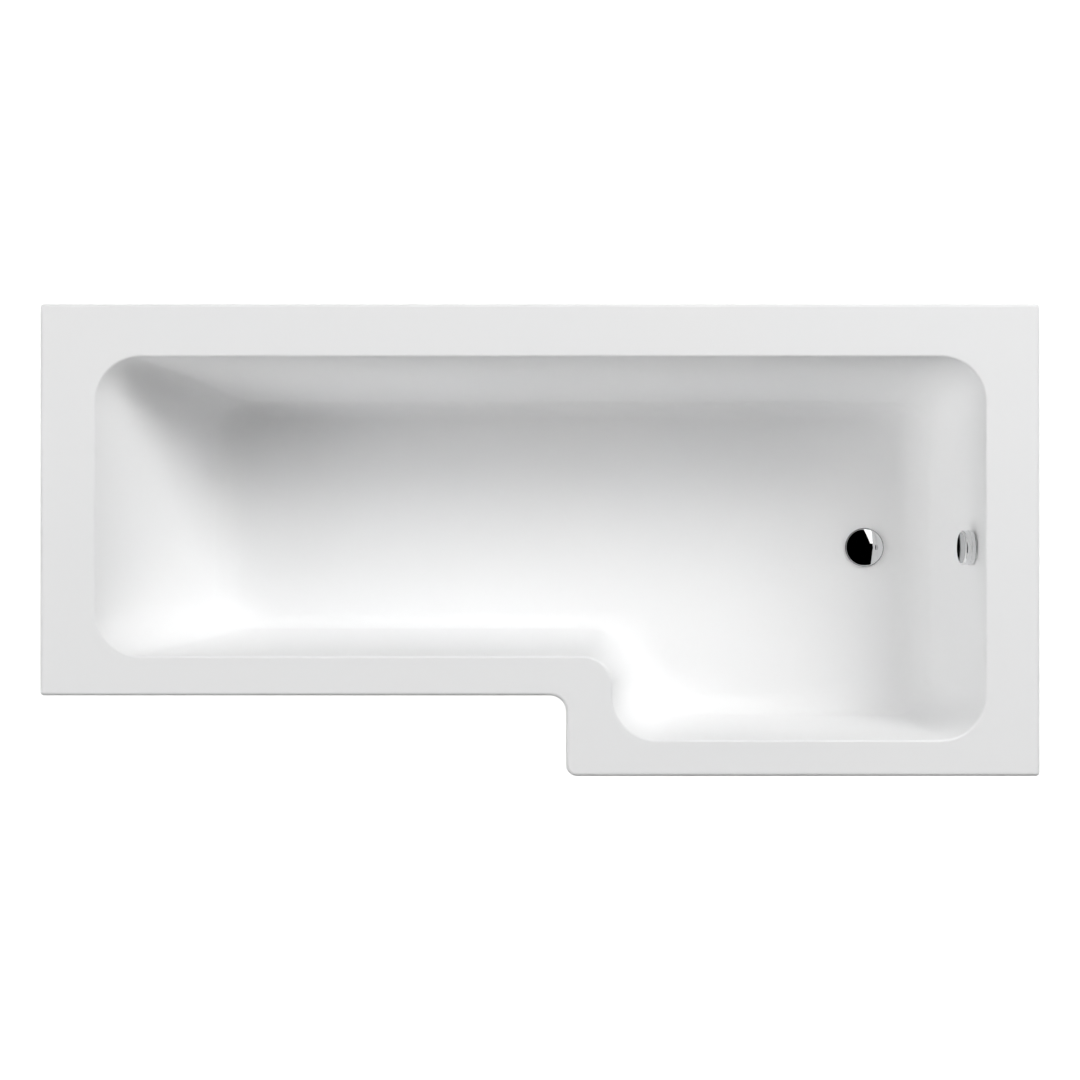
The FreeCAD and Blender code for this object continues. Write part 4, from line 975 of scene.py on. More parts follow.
@dataclass
class Tub:
    """The moulded tub and its glass-fibre backing."""

    rim_height: float = 0.550
    depth: float = 0.390
    lip_depth: float = 0.040
    wall: float = 0.005
    bond_gap: float = 0.0003
    backing: float = 0.004
    lip_radius: float = 0.005
    edge_radius: float = 0.0065
    foot_round: float = 0.0015
    opening_corner: float = 0.081
    floor_corner: float = 0.060
    opening_step: float = 0.055
    floor_step: float = 0.110
    outer_corner: float = 0.007
    outer_step_inner: float = 0.030
    outer_step_outer: float = 0.020
    least_corner: float = 0.0004
    hole_radius: float = 0.026
    waste_at: Pair = (0.612, -0.014)
    overflow_drop: float = 0.075
    support: float = 0.0003
    lip_clear: float = 1.6
    steepest: float = math.radians(82)
    arc_steps: int = 18
    run_steps: tuple[int, ...] = (14, 4, 10, 10, 22, 8)
    sweep_levels: int = 34
    wall_levels: int = 8
    backing_levels: int = 22
    lip_steps: int = 8
    edge_steps: int = 6
    hole_sides: int = 64

    @property
    def floor(self) -> float:
        """Height of the basin's floor."""
        return self.rim_height - self.depth

    @property
    def waste_frame(self) -> Matrix:
        """The frame of the waste, on the floor's upper face."""
        return Matrix.Translation((*self.waste_at, self.floor))

    @property
    def overflow_frame(self) -> Matrix:
        """The overflow on the end wall, with Z into the basin and X up the wall.

        Returns:
            The frame.
        """
        end = WALLS[Side.WASTE]
        slope = end.lean / self.depth
        across = end.opening - self.overflow_drop * slope
        centre = (across, self.waste_at[1], self.rim_height - self.overflow_drop)
        return Matrix.Translation(centre) @ Matrix.Rotation(math.atan(slope) - math.pi / 2, 4, "Y")

    def inset(self, side: Side, offset: float, height: float) -> float:
        """How far in from the opening a wall stands.

        Args:
            side: The wall.
            offset: How far outside the basin's face the surface lies.
            height: The height above the surface's own floor.

        Returns:
            The distance from the opening's edge.
        """
        wall = WALLS[side]
        slope = wall.lean / self.depth
        secant = math.hypot(1, slope)
        outer = wall.sweep + offset
        if height < outer * (1 - slope / secant):
            foot = wall.lean + wall.sweep * (secant - slope)
            return foot - math.sqrt(max(0.0, 2 * outer * height - height * height))
        return (self.depth + offset - height) * slope - offset * secant

    def ring(self, at: dict[Side, float], heights: dict[Side, float], radii: Sequence[float]) -> Ring:
        """One ring around the tub.

        Args:
            at: Where the ring runs along each side.
            heights: Its height along each side, blended around the corners.
            radii: The radius of each corner, from the head end's front corner round.

        Returns:
            Its points, as many on every ring.
        """
        corners = []
        for before, after in zip(ROUND, ROUND[1:] + ROUND[:1]):
            upright, level = (before, after) if before in UPRIGHT_SIDES else (after, before)
            corners.append(Vector((at[upright], at[level], 0)))
        count = len(corners)
        arcs, points = [], []
        for i, (corner, radius) in enumerate(zip(corners, radii)):
            back = (corners[i - 1] - corner).normalized() * radius
            ahead = (corners[(i + 1) % count] - corner).normalized() * radius
            low, high = heights[ROUND[i]], heights[ROUND[(i + 1) % count]]
            arc = []
            for step in range(self.arc_steps + 1):
                share = step / self.arc_steps
                turn = share * math.pi / 2
                spot = corner + back * (1 - math.sin(turn)) + ahead * (1 - math.cos(turn))
                arc.append(Vector((spot.x, spot.y, low + (high - low) * share)))
            arcs.append(arc)
        for i, arc in enumerate(arcs):
            points += arc
            first, last, steps = arc[-1], arcs[(i + 1) % count][0], self.run_steps[i]
            points += [first.lerp(last, step / steps) for step in range(1, steps)]
        return points

    def basin_ring(self, offset: float, height: float) -> Ring:
        """A level ring of the basin, or of a surface outside it.

        Args:
            offset: How far outside the basin's face the surface lies.
            height: The height above the surface's own floor.

        Returns:
            The ring.
        """
        at = {s: w.opening + w.inward * self.inset(s, offset, height) for s, w in WALLS.items()}
        level = dict.fromkeys(Side, self.floor - offset + height)
        rise = math.sqrt(min(1.0, height / (self.depth + offset)))
        corner = self.floor_corner + (self.opening_corner - self.floor_corner) * rise + offset
        step = self.floor_step + (self.opening_step - self.floor_step) * rise - offset
        return self.ring(at, level, [corner, step, corner, corner, corner, corner])

    def lip_ring(self, share: float, beside: float = 0.0) -> Ring:
        """A ring of the round lip.

        Args:
            share: Where it lies, from the wall at 0 to the rim at 1.
            beside: How far out on the flat rim it is moved.

        Returns:
            The ring.
        """
        at, heights = {}, {}
        radius = self.lip_radius
        for side, wall in WALLS.items():
            slope = wall.lean / self.depth
            turn = (math.pi / 2 - math.atan(slope)) * (1 - share)
            inset = radius * (slope - math.hypot(1, slope) + math.sin(turn)) - beside
            at[side] = wall.opening + wall.inward * inset
            heights[side] = self.rim_height - radius * (1 - math.cos(turn))
        spread = radius * (1 - math.sin((1 - share) * math.pi / 2)) + beside
        corner, step = self.opening_corner + spread, self.opening_step - spread
        return self.ring(at, heights, [corner, step, corner, corner, corner, corner])

    def outer_ring(self, inset: float, height: float) -> Ring:
        """A level ring of the rim's outside.

        Args:
            inset: How far in it is moved.
            height: Its height above the floor of the room.

        Returns:
            The ring.
        """
        at = {s: w.outer + w.inward * inset for s, w in WALLS.items()}
        square, step = (max(r - inset, self.least_corner) for r in (self.outer_corner, self.outer_step_outer))
        radii = [square, self.outer_step_inner + inset, step, square, square, square]
        return self.ring(at, dict.fromkeys(Side, height), radii)

    def levels(self, top: float, sweeps: int, walls: int) -> list[float]:
        """Heights of the basin's rings: close together in the sweeps, then spread up the walls.

        Args:
            top: The last height.
            sweeps: Steps in the sweeps.
            walls: Steps up the walls.

        Returns:
            The heights.
        """
        sweep = max(w.sweep for w in WALLS.values())
        low = [sweep * (1 - math.cos(self.steepest * i / sweeps)) for i in range(sweeps + 1)]
        return low + [low[-1] + (top - low[-1]) * i / walls for i in range(1, walls + 1)]

    def drills(self) -> list[Object]:
        """Makes cutters for the holes.

        Returns:
            Those of the waste and the overflow.
        """
        outline, reach = polygon(self.hole_radius, self.hole_sides), 2 * self.hole_radius
        frames = self.waste_frame, self.overflow_frame
        return [prism("drill", outline, -reach, reach, frame) for frame in frames]

    def shell_rings(self) -> list[Ring]:
        """The acrylic sheet: up the basin, over the lip and rim, down the edge and back inside.

        Returns:
            The rings.
        """
        top, low = self.rim_height, self.rim_height - self.lip_depth
        edge, foot, wall = self.edge_radius, self.foot_round, self.wall
        below_lip = self.depth - self.lip_clear * self.lip_radius
        rings = [self.basin_ring(0, h) for h in self.levels(below_lip, self.sweep_levels, self.wall_levels)]
        rings += [self.lip_ring(step / self.lip_steps) for step in range(self.lip_steps + 1)]
        rings += [self.lip_ring(1, self.support), self.outer_ring(edge + self.support, top)]
        for step in range(self.edge_steps + 1):
            turn = step / self.edge_steps * math.pi / 2
            rings.append(self.outer_ring(edge * (1 - math.sin(turn)), top - edge * (1 - math.cos(turn))))
        rings += [self.outer_ring(inset, height) for inset, height in (
            (0, top - edge - self.support), (0, low + foot), (foot, low),
            (wall - foot, low), (wall, low + foot), (wall, top - wall))]
        outside = self.levels(self.depth, self.sweep_levels // 2, self.wall_levels // 2)
        return rings + [self.basin_ring(wall, h) for h in reversed(outside)]

    def backing_rings(self) -> list[Ring]:
        """The backing: up its inside and down its outside.

        Returns:
            The rings.
        """
        inner = self.wall + self.bond_gap
        outer = inner + self.backing
        top = self.depth - self.wall - self.bond_gap
        coarse = self.levels(top + inner, self.sweep_levels // 2, self.wall_levels // 2)
        fine = self.levels(top + outer, self.sweep_levels, self.backing_levels)
        inside = [self.basin_ring(inner, h) for h in coarse]
        return inside + [self.basin_ring(outer, h) for h in reversed(fine)]

    def build(self) -> None:
        """Makes the tub and its backing."""
        for name, rings, finish, node in (
            ("tub_shell", self.shell_rings(), ACRYLIC, "acrylic_shell"),
            ("tub_backing", self.backing_rings(), FIBRE, "fibreglass_backing"),
        ):
            dressed(carved(skin(name, rings, finish), self.drills()), Body.TUB.value, finish, node)


# Board, battens and brackets

@dataclass
class Carcass:
    """The chipboard under the floor, the battens under the rim and the steel angles to the walls."""

    nodes: dict[str, Object]
    board: Copy = Copy("baseboard", "floor_board", BOARD, 0.0008)
    batten_edge: float = 0.0018
    bracket_edge: float = 0.0005
    long_battens: tuple[str, ...] = ("back", "front", "shower_front")
    cross_battens: tuple[str, ...] = ("head_end", "waste_end", "step")
    brackets: tuple[str, ...] = ("back_head", "back_waste", "waste_end")

    def build(self) -> None:
        """Makes the board, the six battens and the three brackets."""
        self.board.build(self.nodes)
        for names, finish in ((self.long_battens, PINE_LONG), (self.cross_battens, PINE_CROSS)):
            for name in names:
                Copy(f"rim_batten_{name}", f"batten_{name}", finish, self.batten_edge).build(self.nodes)
        for name in self.brackets:
            Copy(f"wall_bracket_{name}", f"bracket_{name}", STEEL, self.bracket_edge).build(self.nodes)


# Leg set

@dataclass
class LegSet:
    """The cross bars, the levelling feet and all the small fasteners."""

    nodes: dict[str, Object]
    bars: tuple[str, ...] = ("head", "middle", "waste")
    ends: tuple[str, ...] = ("front", "back")
    bar_edge: float = 0.0005
    stud_radius: float = 0.006
    stud_clearance: float = 0.0001
    thread_pitch: float = 0.00175
    thread_depth: float = 0.0009
    rows_in_pitch: int = 5
    stud_sides: int = 20
    pad_radius: float = 0.026
    pad_base: float = 0.006
    pad_slope: float = 0.0035
    pad_flare: float = 0.001
    pad_hub: float = 0.013
    pad_height: float = 0.022
    pad_floor: float = 0.007
    pad_round: float = 0.002
    pad_foot_round: float = 0.0006
    hub_round: float = 0.0012
    hub_mouth: float = 0.0004
    fins: int = 8
    fin_reach: float = 0.0105
    fin_half: float = 0.0009
    fin_rise: float = 0.0125
    fin_toe: float = 0.0035
    fin_sunk: float = 0.0005
    fin_drop: float = 0.001
    nut_across: float = 0.0105
    nut_height: float = 0.009
    nut_dome: float = 1.08
    nut_flat: float = 0.62
    nut_sink: float = 0.0012
    nut_sink_depth: float = 0.0006
    washer_radius: float = 0.012
    washer_thick: float = 0.0015
    washer_mouth: float = 0.0002
    washer_round: float = 0.0003
    screw_radius: float = 0.0025
    screw_root: float = 0.7
    screw_turns: int = 9
    screw_plain: float = 0.002
    screw_no_thread: float = 0.005
    screw_crest: float = 0.0006
    screw_point: float = 0.0028
    screw_head: float = 0.0048
    screw_crown: float = 0.72
    screw_brow: float = 0.0014
    screw_head_height: float = 0.0028
    screw_length: float = 0.015
    slot_reach: float = 0.0026
    slot_half: float = 0.0005
    slot_depth: float = 0.0016

    def build(self) -> None:
        """Makes bars, feet, nuts, washers and screws."""
        for bar in self.bars:
            Copy(f"cross_bar_{bar}", f"bar_{bar}", STEEL, self.bar_edge).build(self.nodes)
        thread, around = thread_tree(), around_tree()
        for bar in self.bars:
            for end in self.ends:
                self.build_foot(f"{bar}_{end}", thread, around)
        self.build_fasteners()

    def build_foot(self, name: str, thread: ShapeTree, around: ShapeTree) -> None:
        """Makes one threaded stud and its ribbed pad.

        Args:
            name: The foot's name.
            thread: The tree that makes the stud.
            around: The tree that sets the pad's fins.
        """
        body = f"foot_{name}"
        low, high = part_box(f"foot_stud_{name}")
        axis = Vector(((low.x + high.x) / 2, (low.y + high.y) / 2, low.z))
        length = high.z - low.z
        rows = int(length / self.thread_pitch * self.rows_in_pitch)
        stud = thread.grow(
            f"stud_{name}", ZINC, Radius=self.stud_radius, Depth=self.thread_depth, Pitch=self.thread_pitch,
            Length=length, Sides=self.stud_sides, Rows=rows, Place=axis)
        dressed(stud, body, ZINC, f"foot_stud_{name}")
        base, hub, top, floor = self.pad_base, self.pad_hub, self.pad_height, self.pad_floor
        pad = lathe(f"pad_{name}", [
            (0, 0, 0), (self.pad_radius, 0, self.pad_foot_round), (self.pad_radius, base, self.pad_round),
            (hub + self.pad_flare, base + self.pad_slope, self.pad_round), (hub, top, self.hub_round),
            (self.stud_radius, top, self.hub_mouth), (self.stud_radius, floor, 0), (0, floor, 0),
        ], BLACK_PLASTIC, Matrix.Translation((axis.x, axis.y, 0)), sides=64)
        dressed(pad, body, BLACK_PLASTIC, f"foot_pad_{name}")
        reach, half = self.fin_reach, self.fin_half
        fin = prism("pad_fin", [(0, -half), (reach, -half), (reach, half), (0, half)], 0, self.fin_rise)
        for vert in fin.data.vertices:
            if vert.co.z > self.fin_toe and vert.co.x > half:
                vert.co.z = self.fin_toe
        fins = around.grow(
            f"pad_fins_{name}", BLACK_PLASTIC, Shape=fin, Count=self.fins, Radius=hub - self.fin_sunk,
            Place=Vector((axis.x, axis.y, base - self.fin_drop)), Turn=Vector())
        bpy.data.objects.remove(fin)
        dressed(fins, body, BLACK_PLASTIC)

    def solid_centres(self, node: str) -> list[Vector]:
        """The middle of the box of each separate solid of a node.

        Args:
            node: The node's name.

        Returns:
            The middles, in order of their places.
        """
        work = bmesh.new()
        work.from_mesh(self.nodes[node].data)
        bmesh.ops.remove_doubles(work, verts=work.verts, dist=NODE_MERGE)
        left, centres = set(work.verts), []
        while left:
            front = [left.pop()]
            island = list(front)
            while front:
                for edge in front.pop().link_edges:
                    for vert in left.intersection(edge.verts):
                        left.remove(vert)
                        front.append(vert)
                        island.append(vert)
            spans = [(min(v.co[k] for v in island), max(v.co[k] for v in island)) for k in range(3)]
            centres.append(Vector([(low + high) / 2 for low, high in spans]))
        work.free()
        return sorted(centres, key=tuple)

    def build_fasteners(self) -> None:
        """Sets nuts, washers and screws on the centres of the frame's own solids."""
        tree = points_tree()
        for name, node, shape in (
            ("clamp_nuts", "levelling_nuts", self.nut_shape()),
            ("clamp_washers", "levelling_washers", self.washer_shape()),
            ("bar_screw_set", "bar_screws", self.screw_shape()),
            ("bracket_screw_set", "bracket_screws", self.screw_shape()),
        ):
            seed = bpy.data.meshes.new(f"{name}_points")
            seed.from_pydata([tuple(centre) for centre in self.solid_centres(node)], [], [])
            dressed(tree.grow(name, ZINC, seed, Shape=shape), Body.TUB.value, ZINC, node)
            bpy.data.objects.remove(shape)

    def nut_shape(self) -> Object:
        """A hexagon nut about its centre, chamfered by a cone at both ends.

        Returns:
            The nut.
        """
        half, wide = self.nut_height / 2, self.nut_across * self.nut_dome
        flat, brow = self.nut_across * math.cos(math.pi / 6), half * self.nut_flat
        dome = lathe("nut_dome", [
            (0, -half, 0), (flat, -half, 0), (wide, -brow, 0), (wide, brow, 0), (flat, half, 0), (0, half, 0),
        ], ZINC, sides=48)
        nut = carved(prism("nut_shape", polygon(self.nut_across, 6), -half, half), [dome], "INTERSECT")
        bore = self.stud_radius + self.stud_clearance
        mouth, over, deep = bore + self.nut_sink, half + CUT_OVER, half - self.nut_sink_depth
        drill = lathe("nut_drill", [
            (0, -over, 0), (mouth, -over, 0), (bore, -deep, 0),
            (bore, deep, 0), (mouth, over, 0), (0, over, 0),
        ], ZINC, sides=32)
        return carved(nut, [drill])

    def washer_shape(self) -> Object:
        """A flat washer about its centre.

        Returns:
            The washer.
        """
        half, bore = self.washer_thick / 2, self.stud_radius + self.stud_clearance
        return lathe("washer_shape", [
            (bore, -half, self.washer_mouth), (self.washer_radius, -half, self.washer_round),
            (self.washer_radius, half, self.washer_round), (bore, half, self.washer_mouth),
        ], ZINC, ring=True, sides=40)

    def screw_shape(self) -> Object:
        """A pan-head wood screw pointing up, about the middle of its length, with a cross recess below.

        Returns:
            The screw.
        """
        low = -(self.screw_length + self.screw_head_height) / 2
        neck, tip = low + self.screw_head_height, -low
        shank, head = self.screw_radius, self.screw_head
        root, threads = shank * self.screw_root, []
        for i in range(self.screw_turns):
            z = neck + self.screw_plain + i * (tip - neck - self.screw_no_thread) / self.screw_turns
            threads += [(root, z, 0), (shank, z + self.screw_crest, 0)]
        screw = lathe("screw_shape", [
            (0, low, 0), (head * self.screw_crown, low, 0.0008), (head, low + self.screw_brow, 0.0006),
            (head, neck, 0.0002), (shank, neck, 0.0003), *threads,
            (root, tip - self.screw_point, 0), (0, tip, 0),
        ], ZINC, sides=24)
        long, thin = self.slot_reach, self.slot_half
        slots = [prism("slot", [(-a, -b), (a, -b), (a, b), (-a, b)], low - CUT_OVER, low + self.slot_depth)
                 for a, b in ((long, thin), (thin, long))]
        return carved(screw, slots)


# Pop-up waste

@dataclass
class PopUpWaste:
    """The waste in the floor, about its own axis from the floor's upper face."""

    nodes: dict[str, Object]
    frame: Matrix
    copies: tuple[Copy, ...] = (
        Copy("waste_flange", "waste_floor_flange", CHROME, 0.0003),
        Copy("waste_body", "waste_moulding", WHITE_PLASTIC, 0.0006),
        Copy("plug_stem", "plug_lift_stem", WHITE_PLASTIC, 0.0004, Body.PLUG),
        Copy("lift_lever", "plug_lever", WHITE_PLASTIC, 0.0004, Body.LEVER),
        Copy("lever_pin", "plug_lever_pin", ZINC, 0.0003),
    )
    flange_low: float = 0.0015
    seat_radius: float = 0.029
    plug_radius: float = 0.035
    plug_low: float = 0.0054
    plug_edge: float = 0.002
    plug_dome: float = 0.005
    dome_steps: int = 20
    seal_low: float = 0.003
    seal_foot: float = 0.0222
    seal_round: float = 0.0004
    stem_collar: float = 0.012
    hole_radius: float = 0.026
    skin: float = 0.0093
    upper_washer: float = 0.034
    lower_washer: float = 0.040
    lower_washer_thick: float = 0.004

    def build(self) -> None:
        """Makes the flange, plug, seals, body and lever."""
        for copy in self.copies:
            copy.build(self.nodes)
        dressed(self.plug(), Body.PLUG.value, CHROME, "plug_cap")
        collar, low = self.stem_collar, self.plug_low
        seal = lathe("plug_sealing_ring", [
            (collar, low, 0), (collar, self.seal_low, 0.0002),
            (self.seal_foot, self.seal_low, self.seal_round), (self.seat_radius, low, self.seal_round),
        ], RUBBER, self.frame, ring=True)
        dressed(seal, Body.PLUG.value, RUBBER, "plug_seal")
        hole, under, thick = self.hole_radius, -self.skin, self.lower_washer_thick
        for name, node, outer, low, high in (
            ("floor_washer_upper", "flange_seal", self.upper_washer, 0, self.flange_low),
            ("floor_washer_lower", "waste_body_seal", self.lower_washer, under - thick, under),
        ):
            washer = lathe(name, [
                (hole, low, 0.0003), (outer, low, 0.0005), (outer, high, 0.0005), (hole, high, 0.0003),
            ], RUBBER, self.frame, ring=True)
            dressed(washer, Body.TUB.value, RUBBER, node)

    def plug(self) -> Object:
        """The domed plug with a turned edge.

        Returns:
            The plug.
        """
        radius, low, rise = self.plug_radius, self.plug_low, self.plug_dome
        top = low + self.plug_edge
        dome = (radius ** 2 + rise ** 2) / (2 * rise)
        arc = []
        for step in range(1, self.dome_steps + 1):
            reach = radius * (1 - step / self.dome_steps)
            arc.append((reach, top + rise - dome + math.sqrt(dome * dome - reach * reach), 0))
        return lathe("pop_up_plug", [
            (0, low, 0), (radius, low, 0.0004), (radius, top, 0.0009), *arc], CHROME, self.frame, sides=128)


# Overflow

@dataclass
class Overflow:
    """The overflow on the end wall, about its own axis: Z into the basin, X up the wall."""

    nodes: dict[str, Object]
    frame: Matrix
    copies: tuple[Copy, ...] = (
        Copy("knob_spindle", "overflow_spindle", CHROME, 0.0003, Body.KNOB),
        Copy("cable_crank", "overflow_crank", WHITE_PLASTIC, 0.0003, Body.KNOB),
        Copy("overflow_bezel", "overflow_ring", CHROME, 0.0004),
        Copy("overflow_gasket", "overflow_washer", RUBBER, 0.0005),
        Copy("overflow_body", "overflow_moulding", WHITE_PLASTIC, 0.0006),
    )
    knob_radius: float = 0.0315
    knob_low: float = 0.004
    knob_front: float = 0.0225
    knob_wall: float = 0.0025
    knob_face: float = 0.004
    knob_edge: float = 0.0035
    groove_at: float = 0.0112
    groove_width: float = 0.0009
    groove_depth: float = 0.0005
    boss_radius: float = 0.007
    spindle_radius: float = 0.004

    def knob(self) -> Object:
        """The round knob: a deep cup with a softly rounded front and a fine groove behind it.

        Returns:
            The knob.
        """
        radius, low, front = self.knob_radius, self.knob_low, self.knob_front
        inner, ceiling = radius - self.knob_wall, front - self.knob_face
        waist, half = radius - self.groove_depth, self.groove_width / 2
        behind, before = self.groove_at - half, self.groove_at + half
        spindle, boss, boss_end = self.spindle_radius, self.boss_radius, low + self.knob_wall
        return lathe("overflow_turn_knob", [
            (0, ceiling, 0), (spindle, ceiling, 0), (spindle, boss_end, 0.0003), (boss, boss_end, 0.0003),
            (boss, ceiling, 0.0005), (inner, ceiling, 0.0015), (inner, low, 0.0004), (radius, low, 0.0005),
            (radius, behind, 0.0002), (waist, behind, 0.0001), (waist, before, 0.0001),
            (radius, before, 0.0002), (radius, front, self.knob_edge), (0, front, 0),
        ], CHROME, self.frame, sides=128)

    def build(self) -> None:
        """Makes the knob, its spindle and crank, the bezel, gasket and body."""
        dressed(self.knob(), Body.KNOB.value, CHROME, "overflow_knob")
        for copy in self.copies:
            copy.build(self.nodes)


@dataclass
class HoseAndCable:
    """The ribbed overflow hose, its ring nuts and the push-pull cable."""

    waste: Matrix
    overflow: Matrix
    branch_drop: float = 0.056
    branch_reach: float = 0.062
    branch_rise: float = math.radians(15)
    spigot_depth: float = 0.036
    spigot_reach: float = 0.062
    spigot_radius: float = 0.0171
    crest: float = 0.016
    root: float = 0.014
    bore: float = 0.0125
    pitch: float = 0.005
    cuff: float = 0.032
    steps_in_pitch: int = 8
    hose_resolution: int = 40
    nut_radius: float = 0.022
    nut_taper: float = 0.003
    nut_mouth: float = 0.0025
    nut_clearance: float = 0.0001
    over_spigot: float = 0.012
    over_hose: float = 0.010
    ribs: int = 28
    rib_rise: float = 0.0014
    rib_sunk: float = 0.0004
    rib_foot: float = 0.0011
    rib_top: float = 0.0007
    rib_round: float = 0.0005
    rib_start: float = 0.001
    rib_stop: float = 0.005
    cable_radius: float = 0.003
    gland_seat: float = 0.004
    upper_gland: Spot = (-0.048, 0.025, -0.046)
    lower_gland: Spot = (0, 0.046, -0.055)
    cable_lead: float = 0.150
    cable_route: tuple[Spot, ...] = (
        (0.170, 0.026, 0.010), (0.130, 0.045, -0.048), (0.0556, 0.1195, -0.055), (0, 0.0965, -0.055))

    def hose_route(self) -> list[Vector]:
        """The hose's ends, the corner where its runs would meet and a point as far above it as its lower end.

        Returns:
            The points, from the overflow down.
        """
        out = Vector((math.cos(self.branch_rise), 0, math.sin(self.branch_rise)))
        lower = self.waste @ Vector((0, 0, -self.branch_drop)) + out * self.branch_reach
        upper = self.overflow @ Vector((-self.spigot_reach, 0, -self.spigot_depth))
        down = self.overflow.to_3x3() @ Vector((-1, 0, 0))
        along = upper - lower
        reach = (along.x * down.z - along.z * down.x) / (out.x * down.z - out.z * down.x)
        corner = lower + out * reach
        above = corner - down * (lower - corner).length
        return [upper, above, corner, lower]

    def nut(self, name: str, frame: Matrix, around: ShapeTree, node: str) -> None:
        """A ring nut with a grip of ribs.

        Args:
            name: The nut's name.
            frame: Its frame, with Z along the hose.
            around: The tree that sets the ribs.
            node: The node that it stands for.
        """
        low, high = -self.over_spigot, self.over_hose
        spigot, hose = self.spigot_radius, self.crest + self.nut_clearance
        body = self.nut_radius - self.rib_rise
        nut = lathe(name, [
            (spigot, low, 0.0004), (body, low, 0.0008), (body, high - self.nut_taper, 0.0015),
            (self.crest + self.nut_mouth, high, 0.0008), (hose, high, 0.0003), (hose, 0, 0), (spigot, 0, 0),
        ], WHITE_PLASTIC, frame, ring=True)
        dressed(nut, Body.TUB.value, WHITE_PLASTIC, node)
        outline = soften([
            (-self.rib_sunk, -self.rib_foot, 0), (self.rib_rise, -self.rib_top, self.rib_round),
            (self.rib_rise, self.rib_top, self.rib_round), (-self.rib_sunk, self.rib_foot, 0)], True, 3)
        rib = prism("grip_rib", outline, low + self.rib_start, high - self.rib_stop)
        ribs = around.grow(f"{name}_grip", WHITE_PLASTIC, Shape=rib, Count=self.ribs, Radius=body,
                           Place=frame.translation, Turn=Vector(frame.to_euler()))
        bpy.data.objects.remove(rib)
        dressed(ribs, Body.TUB.value, WHITE_PLASTIC)

    def cable(self) -> Object:
        """The sheathed cable along its smooth route.

        Returns:
            The cable.
        """
        down, side, depth = self.upper_gland
        start = self.overflow @ Vector((down + self.gland_seat, side, depth))
        lead = self.overflow @ Vector((down + self.gland_seat - self.cable_lead, side, depth))
        end = self.waste @ (Vector(self.lower_gland) - Vector((0, self.gland_seat, 0)))
        route = [start, lead, *(self.waste @ Vector(point) for point in self.cable_route), end]
        line = nurbs_path("cable_line", route)
        return tube_tree().grow("cable_outer", SHEATH, line, Radius=self.cable_radius)

    def build(self) -> None:
        """Makes the hose, its nuts and the cable."""
        route, around = self.hose_route(), around_tree()
        hose = hose_tree().grow(
            "overflow_ribbed_hose", HOSE_PLASTIC, nurbs_path("hose_line", route, self.hose_resolution),
            Crest=self.crest, Root=self.root, Bore=self.bore, Pitch=self.pitch, Cuff=self.cuff,
            Step=self.pitch / self.steps_in_pitch)
        dressed(hose, Body.TUB.value, HOSE_PLASTIC, "overflow_hose")
        down_wall = self.overflow.to_3x3() @ Matrix.Rotation(-math.pi / 2, 3, "Y")
        upper = Matrix.Translation(route[0]) @ down_wall.to_4x4()
        lower = Matrix.Translation(route[-1]) @ Matrix.Rotation(math.pi / 2 - self.branch_rise, 4, "Y")
        self.nut("upper_hose_nut", upper, around, "hose_nut_upper")
        self.nut("lower_hose_nut", lower, around, "hose_nut_lower")
        dressed(self.cable(), Body.TUB.value, SHEATH, "operating_cable")


# Studio

@dataclass(frozen=True)
class Lamp:
    """A large soft light far away: its bearing from the back wall, its elevation and its power."""

    bearing: float
    elevation: float
    power: float


@dataclass(frozen=True)
class Card:
    """A pale card over or beside the bath that only shows in polished metal."""

    name: str
    glow: float
    outline: tuple[Spot, ...]


CARD_HEIGHT = 4.17
GREY = 0.66


def overhead(*spots: Pair, height: float = CARD_HEIGHT) -> tuple[Spot, ...]:
    """The outline of a level card."""
    return tuple((x, y, height) for x, y in spots)


def upright(start: Pair, end: Pair) -> tuple[Spot, ...]:
    """The outline of a card that stands on the floor."""
    return (*start, 0), (*end, 0), (*end, CARD_HEIGHT), (*start, CARD_HEIGHT)


LAMPS = (
    Lamp(45, 45, 311), Lamp(270, 32, 173), Lamp(225, 24, 156), Lamp(67.5, 32, 143),
    Lamp(22.5, 45, 114), Lamp(22.5, 32, 84), Lamp(315, 60, 73), Lamp(270, 45, 54),
    Lamp(0, -30, 110), Lamp(90, -30, 110), Lamp(270, -30, 110), Lamp(180, -70, 160),
)
CARDS = (
    Card("white_card", 1.6, overhead((1.62, 0.49), (1.94, 0.45), (1.95, 2.15), (1.92, 2.60), (0.80, 2.60))),
    Card("grey_right", GREY, overhead(
        (1.95, 0.45), (1.93, 0.30), (1.99, 0.05), (1.98, -0.15), (1.92, -0.40), (1.86, -1.20), (1.84, -2.22),
        (1.82, -6.0), (9.0, -6.0), (9.0, 6.0), (1.92, 6.0), (1.97, 2.15))),
    Card("grey_left", GREY, overhead((-9.0, -6.0), (-2.2, -6.0), (-2.2, 6.0), (-9.0, 6.0))),
    Card("grey_back", GREY, overhead((-2.2, 2.60), (1.92, 2.60), (1.92, 6.0), (-2.2, 6.0))),
    Card("grey_front", GREY, overhead((-2.2, -6.0), (1.82, -6.0), (1.82, -2.60), (-2.2, -2.60))),
    Card("wall_back", GREY, upright((-9.0, 6.0), (9.0, 6.0))),
    Card("wall_right", GREY, upright((9.0, 6.0), (9.0, -6.0))),
    Card("wall_front", GREY, upright((9.0, -6.0), (-9.0, -6.0))),
    Card("wall_left", GREY, upright((-9.0, -6.0), (-9.0, 6.0))),
)


